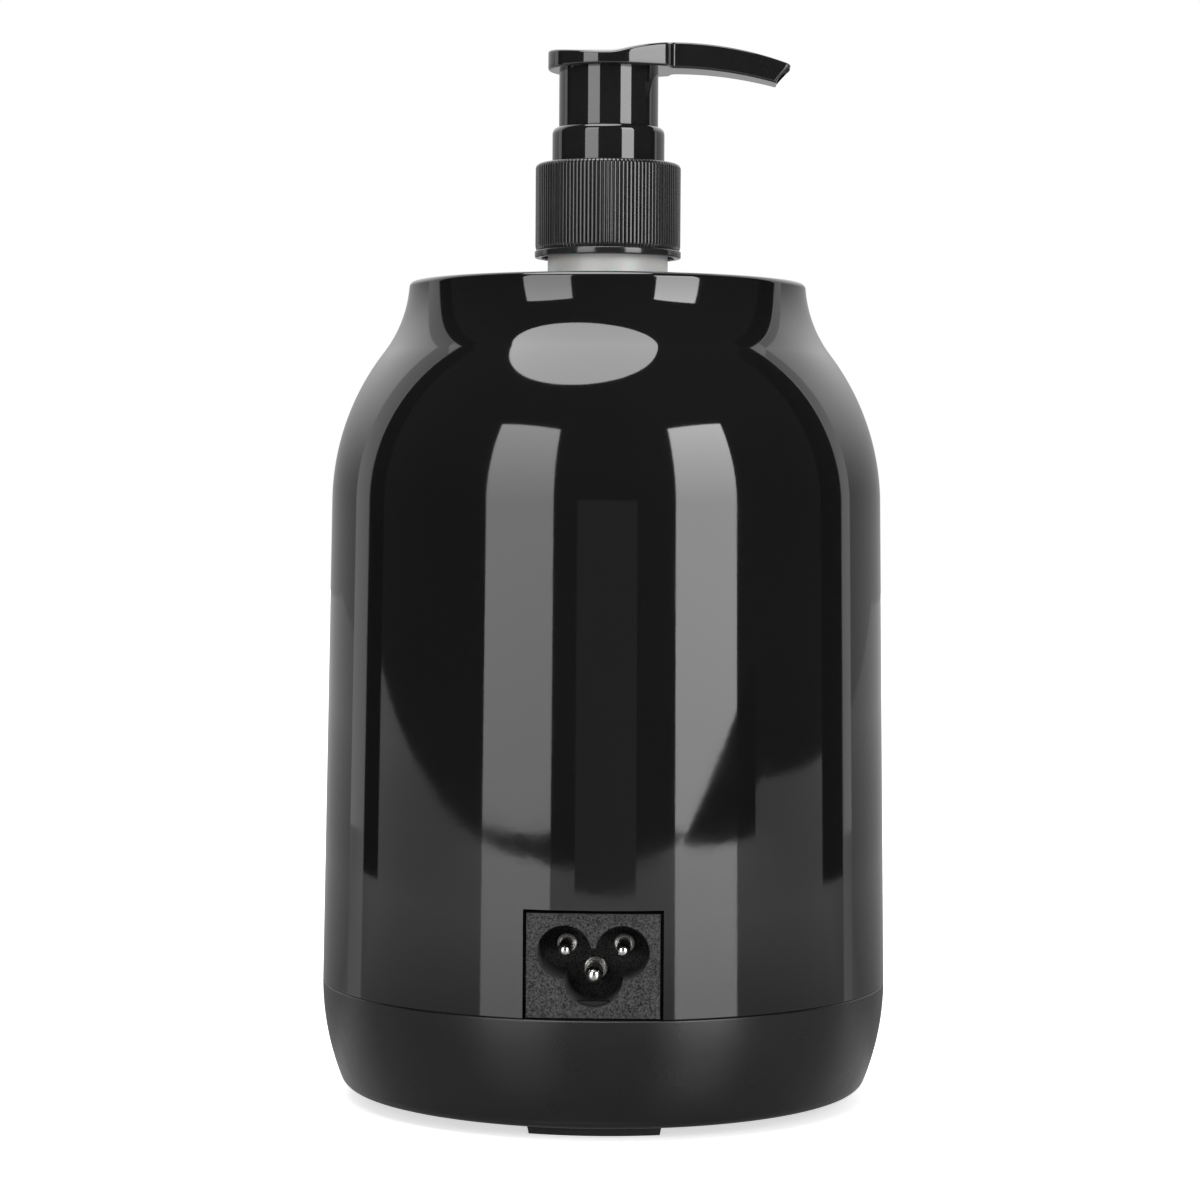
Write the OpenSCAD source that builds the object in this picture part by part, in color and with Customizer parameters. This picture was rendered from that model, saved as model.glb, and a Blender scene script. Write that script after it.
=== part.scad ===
// Massage oil warmer: a jar-shaped housing with a heated well, and a pump bottle that stands in it.
// Frame: +Z up, origin on the table under the bottle's axis.
// The controls face -Y, the power inlet faces +Y and the spout points along -X.

/* [Housing] */
// Outer radius at the seam between housing and base
body_r = 52; // [51:0.5:56]
// How far the wall draws in from the seam to the shoulder
wall_draw = 1.4; // [0.8:0.1:2.4]
// Height where the shoulder begins
shoulder_z = 110; // [106:1:113]
// Radius of the shoulder's convex curve
shoulder_curve_r = 45.5; // [40:0.5:50]
// Radius of the concave curve below the rim
rim_curve_r = 23; // [18:0.5:28]
// Width of the rim, from the bottle's side to its outer edge
rim_land = 5.5; // [5:0.1:8]
// Height of the rim
rim_z = 150; // [147:0.5:152]
// Wall of the housing
shell_wall = 2.4; // [2:0.1:3]
// Rounding of the rim's edges
rim_edge_r = 1; // [0.5:0.1:1.2]

/* [Base] */
// Height of the seam between housing and base
seam_z = 21.5; // [19:0.5:24]
// Radius of the curve that draws the base in
base_curve_r = 48; // [38:1:60]
// Rounding of the base's lower edge
base_edge_r = 2.6; // [2.6:0.1:4]
// Wall of the base
base_wall = 2.4; // [2:0.1:2.5]
// Distance of the base screws from the housing's outside
screw_inset = 12; // [11:0.1:12.4]

/* [Feet] */
// Number of rubber feet
foot_count = 3; // [3:1:5]
// Height of the base above the table
foot_h = 2; // [1.5:0.1:3]
// Length of a foot along the rim
foot_len = 24; // [14:1:26]
// Width of a foot
foot_w = 7; // [5:0.5:9]
// Distance of a foot's outer edge from the housing's outside
foot_inset = 8.8; // [8:0.1:12]
// Depth of a foot's seat in the base
foot_seat = 1; // [0.6:0.1:1.4]

/* [Bottle] */
// Room between the bottle's side and the housing's outside
jacket = 21; // [21:0.5:24]
// Height of the bottle
bottle_h = 121.4; // [118:0.2:126]
// Wall of the bottle
bottle_wall = 1.2; // [0.8:0.1:1.6]
// Radius of the bottle's shoulder curve
bottle_shoulder_r = 18; // [12:0.5:19]
// Outer radius of the neck
neck_r = 11.1; // [11:0.1:11.4]
// Length of the neck above the shoulder
neck_h = 19.4; // [18:0.2:24]
// Wall of the neck
neck_wall = 1.9; // [1.6:0.1:2]

/* [Heating] */
// Height of the underside of the heating cup
cup_z = 42; // [41.5:0.5:45]
// Gap between bottle and cup
cup_gap = 0.8; // [0.5:0.1:1]
// Wall of the cup
cup_wall = 1.2; // [1:0.1:1.5]
// Thickness of the cup's floor
cup_floor_t = 2; // [1.5:0.1:3]
// Height of the heater band above the cup's floor
heater_rise = 8; // [6:1:14]
// Height of the heater band
heater_h = 60; // [40:1:64]
// Thickness of the heater band
heater_t = 1.5; // [1:0.1:1.6]
// Thickness of the insulation
insulation_t = 3; // [2:0.1:3]

/* [Pump] */
// Outer radius of the screw cap over its ribs
cap_r = 13.5; // [13.4:0.1:14.5]
// Height of the screw cap
cap_h = 17.3; // [15:0.1:19]
// Number of ribs round the screw cap
cap_ribs = 110; // [60:2:140]
// Depth of the ribs
cap_rib_depth = 0.3; // [0.2:0.05:0.4]
// Outer radius of the lock collar
collar_r = 10.35; // [10.3:0.05:10.6]
// Height of the lock collar above the screw cap
collar_rise = 7; // [6:0.5:9]
// Outer radius of the pump head's skirt
skirt_r = 9.15; // [8.9:0.05:9.15]
// Length of skirt that shows above the lock collar
skirt_show = 10; // [10:0.1:12]
// Travel of the pump head
stroke = 9; // [6:0.5:9]
// Radius of the pump head's thumb pad
pad_r = 11.2; // [10.6:0.1:12.5]
// Thickness of the thumb pad
pad_t = 3.7; // [3.4:0.1:4.4]
// Distance from the axis to the top of the spout's tip
spout_reach = 33.4; // [28:0.2:38]
// Distance from the axis to the crest of the spout
crest_x = 11.7; // [11:0.1:13]
// Height of the crest above the thumb pad
crest_rise = 1.4; // [1.4:0.1:2]
// Width of the spout at its root
spout_root_w = 11; // [9:0.1:12]
// Width of the spout at its tip
spout_tip_w = 7.6; // [6:0.1:8.4]
// Outer radius of the dip tube
dip_r = 3; // [2.6:0.1:3]
// Radius of the pump's bore
piston_bore_r = 5.5; // [5.2:0.1:5.6]

/* [Power inlet] */
// Width of the inlet's face
inlet_w = 22.9; // [22.4:0.1:24]
// Height of the inlet's face
inlet_h = 17.9; // [17.4:0.1:19]
// Depth of the socket
socket_depth = 13; // [11:0.5:14]
// Distance between the two line pins
pin_pitch = 10; // [9.6:0.1:10.4]
// Distance of the earth pin below the line pins
earth_drop = 4.3; // [4:0.1:4.6]
// Radius of the socket's two upper lobes
lobe_r = 4.65; // [4.4:0.05:4.8]
// Radius of the socket's lower lobe
earth_lobe_r = 5.1; // [4.8:0.05:5.3]
// Radius of a line pin
line_pin_r = 1.2; // [1:0.05:1.3]
// Radius of the earth pin
earth_pin_r = 1.5; // [1.3:0.05:1.6]

/* [Controls] */
// Width of the display window
lens_w = 34; // [28:1:36]
// Height of the display window
lens_h = 20; // [16:1:22]
// Height of the display window's centre
lens_z = 72; // [70:1:80]
// Radius of a button
button_r = 4.5; // [3.5:0.1:4.6]
// Distance between neighbouring buttons
button_pitch = 14; // [13:0.5:14]
// Height of the buttons
button_z = 46; // [44:1:50]
// Travel of a button
button_travel = 0.5; // [0.3:0.1:0.6]
// Height of a button above the housing
button_proud = 0.3; // [0.2:0.05:0.3]

/* [Fits] */
// Gap round a part that slots into another
slot_gap = 0.4; // [0.3:0.05:0.6]
// Gap round a part that moves in another
move_gap = 0.2; // [0.15:0.05:0.25]
// Gap round a part that is bonded or pressed into another
seat_gap = 0.1; // [0.05:0.05:0.15]

/* [Hidden] */
$fn = 96;
eps = 0.01;
// Neighbouring curves run this far into each other, so that they cross cleanly where they are tangent
hair = 0.003;

// Radii that follow the housing
shoulder_r = body_r - wall_draw;
bottle_r = body_r - jacket;
rim_r = bottle_r + rim_land;
screw_circle_r = body_r - screw_inset;
foot_outer_r = body_r - foot_inset;

// Housing outline: a tapered wall, a convex shoulder and a concave run up to the rim
taper = atan2(body_r - shoulder_r, shoulder_z - seam_z);
wall_normal = [cos(taper), sin(taper)];
shoulder_centre = [shoulder_r, shoulder_z] - shoulder_curve_r * wall_normal;
rim_centre_x = rim_r + rim_curve_r;
curves_r = shoulder_curve_r + rim_curve_r;
rim_centre = [
  rim_centre_x,
  shoulder_centre.y + sqrt(pow(curves_r, 2) - pow(rim_centre_x - shoulder_centre.x, 2))
];
turn_dir = (rim_centre - shoulder_centre) / curves_r;
rim_lip_t = shell_wall;
rim_edge_centre = [
  rim_centre.x - sqrt(pow(rim_curve_r + rim_edge_r, 2) - pow(rim_centre.y - rim_z + rim_edge_r, 2)),
  rim_z - rim_edge_r
];
rim_edge_meet = rim_centre + rim_curve_r / (rim_curve_r + rim_edge_r) * (rim_edge_centre - rim_centre);

// Base
base_centre = [body_r - base_curve_r, seam_z];
base_edge_centre = [
  base_centre.x + sqrt(pow(base_curve_r - base_edge_r, 2) - pow(seam_z - foot_h - base_edge_r, 2)),
  foot_h + base_edge_r
];
base_edge_dir = (base_edge_centre - base_centre) / (base_curve_r - base_edge_r);
base_floor_z = foot_h + base_wall;
tongue_r = body_r - shell_wall - move_gap;
tongue_t = 1.8;
tongue_rise = 3;
tongue_root = 5;
foot_draft = 0.6;

// Screws that hold the base to the housing
base_screw_r = 1.6;
base_screw_head_r = 3.2;
base_screw_head_h = 2.2;
base_screw_len = 16;
screw_post_r = 4.6;
screw_post_top = seam_z - 4.5;
screw_recess_h = 7;
screw_boss_r = 3.6;
screw_boss_h = 14;
screw_hole_h = 11;
screw_angles = [for (i = [0 : foot_count - 1]) 90 + 360 * (i + 0.5) / foot_count];
rib_t = 2;

// Heating cup, with the bottle standing on its floor
bottle_z = cup_z + cup_floor_t;
neck_top = bottle_z + bottle_h;
bottle_shoulder_top = neck_top - neck_h;
bottle_shoulder_z = bottle_shoulder_top - bottle_shoulder_r;
bottle_edge_r = 4;
bottle_dish_r = bottle_r - 8;
bottle_dish_h = 0.6;
neck_flare = 1.4;
neck_root = 3;
cup_r = bottle_r + cup_gap;
cup_outer_r = cup_r + cup_wall;
cup_edge_r = bottle_edge_r + cup_gap;
seal_t = 1;
lip_z = rim_z - rim_lip_t;
cup_flange_z = lip_z - seal_t - cup_wall;
lip_r = cup_r + 0.4;
flange_wall_r = rim_centre.x
  - sqrt(pow(rim_curve_r + shell_wall, 2) - pow(max(0, rim_centre.y - lip_z), 2));
cup_flange_r = flange_wall_r - move_gap;
support_t = 3;
support_leg_r = 3;
support_leg_gap = 1.1;
support_leg_angles = [45, 135, 225, 315];
heater_z = bottle_z + heater_rise;
heater_gap = 0.1;
heater_r = cup_outer_r + heater_gap;
heater_arc = 330;
insulation_r = heater_r + heater_t + 0.3;
insulation_margin = 2;
cutout_r = 8;
cutout_h = 8;
cutout_flange_r = 10;
sensor_r = 2.5;
sensor_len = 9;
sensor_x = 15;
sensor_gap = 4.5;
support_r = [sensor_x + sensor_r + sensor_gap, bottle_r];

// Power inlet: its face stands just inside the housing's curve at its two upright edges
inlet_z = seam_z + 0.3;
inlet_face_y = sqrt(pow(body_r, 2) - pow(inlet_w / 2, 2)) - 0.3;
line_pin_z = inlet_z + 11.2;
earth_pin_z = line_pin_z - earth_drop;
inlet_floor_t = 3;
inlet_back_y = inlet_face_y - socket_depth - inlet_floor_t;
inlet_flange_w = inlet_w + 4.6;
inlet_flange_t = 2;
inlet_flange_y = sqrt(pow(body_r - shell_wall, 2) - pow(inlet_flange_w / 2, 2)) - 0.6;
inlet_rail_t = 1.6;
inlet_rail_gap = 0.25;
pin_recess = 2;
pin_collar_h = 1;
pin_collar_extra = 0.5;
pin_tab_len = 6;
pin_tab_w = 1.8 * line_pin_r;
pin_tab_t = 0.8;
pins = [
  [-pin_pitch / 2, line_pin_z, line_pin_r],
  [pin_pitch / 2, line_pin_z, line_pin_r],
  [0, earth_pin_z, earth_pin_r]
];

// Control board behind the front wall
board_t = 1.6;
tact_h = 3.45;
tact_w = 6;
tact_plunger_h = 0.85;
tact_plunger_r = 1.7;
tact_gap = button_travel + 0.05;
button_flange_t = 0.8;
button_flange_extra = 0.6;
side_button_x = button_pitch + button_r + button_flange_extra;
front_inner_r = body_r - shell_wall - (button_z + 10 - seam_z) * tan(taper);
button_flange_y = sqrt(pow(front_inner_r, 2) - pow(side_button_x, 2)) - move_gap;
button_back_y = button_flange_y - button_flange_t;
board_front_y = button_back_y - tact_gap - tact_h;
board_w = 48;
board_z = [34, 90];
board_hole_r = 1.3;
board_boss_r = 2.6;
board_boss_x = 20;
board_boss_inset = 4;
board_boss_z = [board_z[0] + board_boss_inset, board_z[1] - board_boss_inset];
lens_t = 1.2;
lens_corner_r = 4;
lens_ledge = 2;
display_t = 4.6;
display_margin = 3;

// Power board over the base's floor
power_board_inset = 22;
power_board_size = [body_r - power_board_inset, body_r];
support_leg_circle = (power_board_size.x / 2 + support_leg_gap + support_leg_r) * sqrt(2);
standoff_h = 5;
power_board_z = base_floor_z + standoff_h;
power_board_top = power_board_z + board_t;
standoff_r = 2.6;
standoff_inset = 3;
small_screw_r = 1.1;
small_screw_head_r = 2;
small_screw_head_h = 1.4;
small_screw_len = 4;
terminal_size = [14, 8, 9];
terminal_y = power_board_size.y / 2 - terminal_size.y;
heater_terminal_size = [25, 8, 9];
heater_terminal_inset = 11;
heater_terminal_y = -power_board_size.y / 2 + heater_terminal_inset;
transformer_size = [14, 12, 11];
transformer_place = [-5, 6];
relay_size = [8, 14, 12];
relay_place = [8, 3];
capacitor_r = 3.5;
capacitor_h = 12;
capacitor_place = [-6, -5.5];

// Pump, stacked on the neck: gasket, cylinder flange, collar flange and the deck of the screw cap
gasket_t = 1;
cylinder_flange_t = 1.2;
collar_flange_t = 2.8;
cap_deck_t = 1.8;
cap_gap = 0.1;
cylinder_flange_z = neck_top + gasket_t;
collar_z = cylinder_flange_z + cylinder_flange_t;
cap_deck_z = collar_z + collar_flange_t + cap_gap;
cap_top = cap_deck_z + cap_deck_t;
cap_z = cap_top - cap_h;
cap_wall = 1.3;
cap_bead_h = 1.3;
cap_bead = 0.1;
cap_edge_r = 1.4;
cap_crown_r = cap_r - cap_rib_depth - 0.02;
flange_r = cap_r - cap_wall - 0.8;
collar_top = cap_top + collar_rise;
collar_bore_r = skirt_r + move_gap;
collar_edge_r = 0.7;
collar_floor_t = 1.4;
collar_bead = 0.3;
collar_bead_h = 0.2;
neck_bore_r = neck_r - neck_wall;
cylinder_r = neck_bore_r - 0.4;
cylinder_wall = 1.1;
cylinder_floor_t = 1;
cylinder_step = 2;
cylinder_top_bore_r = cylinder_r - cylinder_wall;
sleeve_r = cylinder_top_bore_r - 0.05;
sleeve_wall = 1.2;
sleeve_len = 9.6;
stem_r = 3.2;
stem_bore_r = 1.9;
stem_gap = 0.25;
piston_drop = 19.4;
piston_z = neck_top - piston_drop;
piston_h = 6;
piston_clear = 0.05;
piston_floor_z = piston_z - stroke - 9;
valve_bore_r = 3;
valve_seat_z = piston_floor_z - 4.2;
valve_cage_t = 1.2;
valve_cage_r = 1.9;
valve_seat_h = 1.5;
valve_hole_r = 1.6;
ball_r = 2.2;
ball_gap = 0.03;
seat_angle = atan2(valve_bore_r - valve_hole_r, valve_seat_h);
ball_z = valve_seat_z - valve_seat_h - valve_hole_r / tan(seat_angle) + (ball_r + ball_gap) / sin(seat_angle);
dip_socket_h = 11;
dip_socket_top = valve_seat_z - valve_seat_h - 1;
dip_socket_bottom = dip_socket_top - dip_socket_h;
dip_wall = 0.8;
dip_clear = 2;
spigot_r = dip_r + 1.4;

// Spring between the pump's floor and the piston
spring_wire_r = 0.4;
spring_side_gap = 0.7;
spring_r = piston_bore_r - spring_side_gap - spring_wire_r;
spring_turns = 8;
spring_rings = 10;
spring_sides = 6;
spring_end_gap = 0.1;
spring_z = piston_floor_z + spring_wire_r + spring_end_gap;
spring_top = piston_z - spring_wire_r - spring_end_gap;

// Pump head: the spout is a band between two arcs about one centre
pad_z = collar_top + skirt_show;
pad_top = pad_z + pad_t;
skirt_engaged = 1;
skirt_bottom = collar_top - skirt_engaged;
skirt_wall = 1.15;
hub_r = 5;
hub_socket_depth = 1.8;
spout_t = pad_t + crest_rise;
spout_outer_r = 69;
spout_inner_r = spout_outer_r - spout_t;
spout_centre = [crest_x, pad_top + crest_rise - spout_outer_r];
crest_back_r = 38;
crest_lap = 3;
crest_back_centre = [crest_x, pad_top + crest_rise - crest_back_r];
pad_blend_r = 12;
pad_blend_x = crest_x
  - sqrt(pow(crest_back_r + pad_blend_r, 2) - pow(pad_top + pad_blend_r - crest_back_centre.y, 2));
pad_blend_centre = [pad_blend_x, pad_top + pad_blend_r];
pad_blend_end = crest_back_centre
  + crest_back_r / (crest_back_r + pad_blend_r) * (pad_blend_centre - crest_back_centre);
tip_cut_angle = 38;
spout_tip_z = spout_centre.y + sqrt(pow(spout_outer_r, 2) - pow(spout_reach - crest_x, 2));
spout_channel_r = 1.4;
spout_mid_r = spout_outer_r - spout_t / 2 - 0.2;
spout_half = [spout_root_w / 2, spout_tip_w / 2];
neck_arc_r = 1.8 * pad_r;
neck_arc_y = 0.982 * pad_r - neck_arc_r;
neck_cut = [[0.68 * crest_x, pad_r], [1.37 * crest_x, 0.2 * pad_r]];

// Wires inside the base
wire_r = 1.1;
lead_r = 0.7;
lead_z = cup_z - 6;
wire_sides = 8;
wire_steps = 5;
wire_bend = 4;
ribbon_w = 12;
ribbon_t = 1;
ribbon_bend = [12, 24];

// Half outline of the housing from z0 to z1, drawn in by inset
module housing_outline(inset, z0, z1) {
  convex_r = shoulder_curve_r - inset;
  wall_top = shoulder_centre + (convex_r - hair) * wall_normal;
  turn = shoulder_centre + convex_r * turn_dir;
  wall_bottom_x = wall_top.x + (wall_top.y - z0) * tan(taper);
  overlap = rim_curve_r / 8;
  polygon([[0, z0], [wall_bottom_x, z0], wall_top, [0, wall_top.y]]);
  intersection() {
    translate(shoulder_centre) circle(convex_r);
    translate([0, wall_top.y - overlap]) square([body_r, turn.y - wall_top.y + 2 * overlap]);
    translate([0, z0]) square([body_r, z1 - z0]);
  }
  if (z1 > turn.y) difference() {
    translate([0, turn.y]) square([rim_centre.x, z1 - turn.y]);
    translate(rim_centre) circle(rim_curve_r + inset + hair);
  }
}

// Half outline of the base, drawn in by inset
module base_outline(inset) {
  side_r = base_curve_r - inset;
  edge_r = base_edge_r - inset;
  meet = base_centre + side_r * base_edge_dir;
  intersection() {
    translate(base_centre) circle(side_r);
    translate([0, meet.y]) square([body_r, seam_z - meet.y + (inset > 0 ? 1 : 0)]);
  }
  polygon([[0, foot_h + inset], [base_edge_centre.x, foot_h + inset], meet, [0, meet.y]]);
  translate(base_edge_centre) circle(edge_r + hair);
}

// Half outline of a round vessel from z0 to z1 with a rounded lower edge
module vessel_outline(r, z0, z1, edge_r) {
  translate([0, z0 + edge_r]) square([r, z1 - z0 - edge_r]);
  translate([0, z0]) square([r - edge_r, edge_r + eps]);
  translate([r - edge_r, z0 + edge_r]) circle(edge_r);
}

// What a rounded outer corner at p takes away
module corner_cut(p, r, side = 1) {
  difference() {
    translate([side > 0 ? p.x - r : p.x - 1, p.y - r]) square([r + 1, r + 1]);
    translate([p.x - side * r, p.y - r]) circle(r);
  }
}

// Rectangle with rounded corners, centred on the origin
module rounded_rect(w, h, r) {
  square([w - 2 * r, h], center = true);
  square([w, h - 2 * r], center = true);
  for (x = [-1, 1], y = [-1, 1]) translate([x * (w / 2 - r), y * (h / 2 - r)]) circle(r);
}

module ring(r_in, r_out, z0, z1) {
  translate([0, 0, z0]) difference() {
    cylinder(h = z1 - z0, r = r_out);
    translate([0, 0, -1]) cylinder(h = z1 - z0 + 2, r = r_in);
  }
}

// Round bar along Y at (x, z)
module bar_y(x, z, r, y0, y1) {
  translate([x, y0, z]) rotate([-90, 0, 0]) cylinder(h = y1 - y0, r = r);
}

// Upright outline in X and Z, extruded from y0 to y1
module prism_y(y0, y1) {
  translate([0, y1, 0]) rotate([90, 0, 0]) linear_extrude(y1 - y0) children();
}

module at_angles(angles, r) {
  for (a = angles) rotate([0, 0, a]) translate([r, 0, 0]) children();
}

// Screw with a round head, its shank pointing up from z = 0
module screw(shank_r, shank_len, head_r, head_h) {
  translate([0, 0, -eps]) cylinder(h = shank_len + eps, r = shank_r);
  translate([0, 0, -head_h]) cylinder(h = head_h, r = head_r);
}

// Points along a route, rounded at each inner corner by a quadratic curve
function rounded_route(p, reach) = concat(
  [p[0]],
  [for (i = [1 : len(p) - 2], k = [0 : wire_steps])
    let (
      back = p[i - 1] - p[i],
      ahead = p[i + 1] - p[i],
      a = p[i] + min(reach, norm(back) / 2.2) * back / norm(back),
      b = p[i] + min(reach, norm(ahead) / 2.2) * ahead / norm(ahead),
      t = k / wire_steps
    )
    (1 - t) * (1 - t) * a + 2 * t * (1 - t) * p[i] + t * t * b],
  [p[len(p) - 1]]
);

function unit(v) = v / norm(v);
function tangent(p, i) = unit(p[min(i + 1, len(p) - 1)] - p[max(i - 1, 0)]);

// Tube of radius r along points, with side as a direction that the route never follows
module swept_tube(p, r, sides, side) {
  n = len(p);
  rings = [for (i = [0 : n - 1], k = [0 : sides - 1])
    let (t = tangent(p, i), u = unit(cross(t, side)), v = cross(t, u), a = 360 * k / sides)
    p[i] + r * (cos(a) * u + sin(a) * v)];
  points = concat(rings, [p[0], p[n - 1]]);
  walls = [for (i = [0 : n - 2], k = [0 : sides - 1], half = [0, 1])
    let (a = i * sides + k, b = i * sides + (k + 1) % sides, c = a + sides, d = b + sides)
    half == 0 ? [a, c, b] : [b, c, d]];
  ends = [for (k = [0 : sides - 1], far = [0, 1])
    let (a = k, b = (k + 1) % sides, top = (n - 1) * sides)
    far == 0 ? [n * sides, a, b] : [n * sides + 1, top + b, top + a]];
  polyhedron(points = points, faces = concat(walls, ends), convexity = 6);
}

// Upper housing: one moulded shell with the rim, the inlet's notch and the openings for the controls
module outer_shell() color("#111112") difference() {
  union() {
    rotate_extrude() difference() {
      union() {
        housing_outline(0, seam_z, rim_edge_meet.y);
        polygon([[0, rim_edge_meet.y], rim_edge_meet, [rim_edge_centre.x, rim_z], [0, rim_z]]);
        translate(rim_edge_centre) circle(rim_edge_r + hair);
      }
      housing_outline(shell_wall, seam_z - 1, lip_z);
      translate([0, lip_z - 1]) square([lip_r, rim_lip_t + 2]);
      corner_cut([lip_r, rim_z], rim_edge_r, -1);
    }
    intersection() {
      union() {
        at_angles(screw_angles, screw_circle_r) screw_boss();
        control_board_bosses();
        inlet_rails();
      }
      rotate_extrude() housing_outline(shell_wall / 2, screw_post_top, shoulder_z);
    }
  }
  inlet_notch();
  lens_opening();
  for (i = [-1 : 1]) bar_y(i * button_pitch, button_z, button_r + move_gap, -body_r - 1, -board_front_y);
  at_angles(screw_angles, screw_circle_r)
    translate([0, 0, screw_post_top - 1]) cylinder(h = screw_hole_h, r = base_screw_r);
  for (x = [-1, 1], z = board_boss_z)
    bar_y(x * board_boss_x, z, small_screw_r, -board_front_y - small_screw_len, -board_front_y + 1);
}

// Post for one base screw, tied to the wall by a rib
module screw_boss() {
  translate([0, 0, screw_post_top + seat_gap]) cylinder(h = screw_boss_h, r = screw_boss_r);
  translate([0, -rib_t / 2, seam_z + tongue_rise + 0.5])
    cube([body_r - screw_circle_r, rib_t, screw_boss_h - tongue_rise - 5]);
}

module control_board_bosses() {
  for (x = [-1, 1], z = board_boss_z)
    bar_y(x * board_boss_x, z, board_boss_r, -body_r, -board_front_y);
}

// Rails that trap the inlet's flange behind the wall
module inlet_rails() {
  rail_x = inlet_flange_w / 2 + inlet_rail_gap;
  hook_y = inlet_flange_y - inlet_flange_t - inlet_rail_gap;
  for (side = [-1, 1]) translate([side > 0 ? rail_x : -rail_x - inlet_rail_t, 0, seam_z]) {
    translate([0, hook_y - inlet_rail_t, 0]) cube([inlet_rail_t, body_r - hook_y, inlet_h]);
    translate([side > 0 ? -inlet_rail_t : 0, hook_y - inlet_rail_t, 0])
      cube([2 * inlet_rail_t, inlet_rail_t, inlet_h]);
  }
}

module inlet_notch() {
  translate([-inlet_w / 2 - slot_gap, inlet_flange_y + 0.2, seam_z - 1])
    cube([inlet_w + 2 * slot_gap, body_r, inlet_h + slot_gap + inlet_z - seam_z + 1]);
}

module lens_opening() {
  translate([0, 0, lens_z]) {
    prism_y(-body_r, -board_front_y)
      rounded_rect(lens_w - 2 * lens_ledge, lens_h - 2 * lens_ledge, lens_corner_r - lens_ledge);
    difference() {
      prism_y(-body_r - 1, -board_front_y)
        rounded_rect(lens_w + 2 * seat_gap, lens_h + 2 * seat_gap, lens_corner_r + seat_gap);
      translate([0, 0, -lens_z]) rotate_extrude() housing_outline(lens_t + seat_gap, seam_z, shoulder_z + 1);
    }
  }
}

// Lower housing, with the screw posts, the stand-offs and the seats of the feet
module base() color("#1c1c1d") difference() {
  union() {
    rotate_extrude() {
      difference() {
        base_outline(0);
        base_outline(base_wall);
      }
      polygon([
        [tongue_r - tongue_t, seam_z - tongue_root], [tongue_r, seam_z - tongue_root],
        [tongue_r + move_gap + 0.8, seam_z - tongue_root + 2], [tongue_r + move_gap + 0.8, seam_z - 1],
        [tongue_r, seam_z], [tongue_r, seam_z + tongue_rise], [tongue_r - tongue_t, seam_z + tongue_rise]
      ]);
    }
    at_angles(screw_angles, screw_circle_r)
      translate([0, 0, base_floor_z - 1]) cylinder(h = screw_post_top - base_floor_z + 1, r = screw_post_r);
    power_board_corners() translate([0, 0, base_floor_z - 1])
      cylinder(h = power_board_z - base_floor_z + 1, r = standoff_r);
  }
  at_angles(screw_angles, screw_circle_r) {
    translate([0, 0, foot_h - 1]) cylinder(h = screw_recess_h + 1, r = base_screw_head_r + move_gap);
    cylinder(h = seam_z, r = base_screw_r + move_gap);
  }
  power_board_corners() translate([0, 0, power_board_top - small_screw_len])
    cylinder(h = small_screw_len, r = small_screw_r);
  feet(seat_gap);
  translate([-inlet_flange_w / 2 - inlet_rail_gap - inlet_rail_t - move_gap, body_r / 2, seam_z])
    cube([inlet_flange_w + 2 * (inlet_rail_gap + inlet_rail_t + move_gap), body_r, tongue_rise + 1]);
}

module power_board_corners() {
  for (x = [-1, 1], y = [-1, 1])
    translate([x * (power_board_size.x / 2 - standoff_inset), y * (power_board_size.y / 2 - standoff_inset), 0])
      children();
}

// Arc-shaped feet with sloping ends, grown by gap
module feet(gap) {
  mid = foot_draft * foot_h / (foot_h + foot_seat);
  half = foot_len / 2 + gap;
  inner = foot_outer_r - foot_w - gap;
  outer = foot_outer_r + gap;
  top = foot_h + foot_seat + gap;
  for (i = [0 : foot_count - 1]) rotate([0, 0, 90 + 360 * i / foot_count]) intersection() {
    rotate_extrude()
      polygon([[inner + foot_draft, 0], [outer - foot_draft, 0], [outer, top], [inner, top]]);
    translate([foot_outer_r - foot_w - 1, 0, 0]) rotate([90, 0, 90]) linear_extrude(foot_w + 2 + gap)
      polygon([[-half + foot_draft, 0], [half - foot_draft, 0], [half, top], [-half, top]]);
  }
}

module rubber_feet() color("#141414") feet(0);

module base_screws() color("silver") at_angles(screw_angles, screw_circle_r)
  translate([0, 0, foot_h + screw_recess_h])
    screw(base_screw_r - 0.05, base_screw_len, base_screw_head_r, base_screw_head_h);

// Drawn aluminium cup that warms the bottle, hung on a flange under the rim
module heating_cup() color("#b9bcc0") rotate_extrude() difference() {
  union() {
    vessel_outline(cup_outer_r, cup_z, cup_flange_z + cup_wall, cup_edge_r + cup_wall);
    translate([0, cup_flange_z]) square([cup_flange_r, cup_wall]);
  }
  vessel_outline(cup_r, bottle_z, rim_z, cup_edge_r);
}

module cup_seal() color("#2a2a2a") ring(cup_r + 0.4, cup_flange_r, cup_flange_z + cup_wall, lip_z);

// Bracket that stands on the base and carries the cup
module cup_support() color("#d8d4c8") {
  ring(support_r[0], support_r[1], cup_z - support_t, cup_z);
  at_angles(support_leg_angles, support_leg_circle)
    translate([0, 0, base_floor_z]) cylinder(h = cup_z - base_floor_z - support_t + eps, r = support_leg_r);
}

// Heating film round the cup, open at the back for its leads
module heater_band() color("#c7702b") rotate([0, 0, 90 + (360 - heater_arc) / 2])
  rotate_extrude(angle = heater_arc) translate([heater_r, heater_z]) square([heater_t, heater_h]);

module insulation_sleeve() color("#d9d6cc")
  ring(
    insulation_r, insulation_r + insulation_t,
    heater_z - insulation_margin, heater_z + heater_h + insulation_margin
  );

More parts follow.
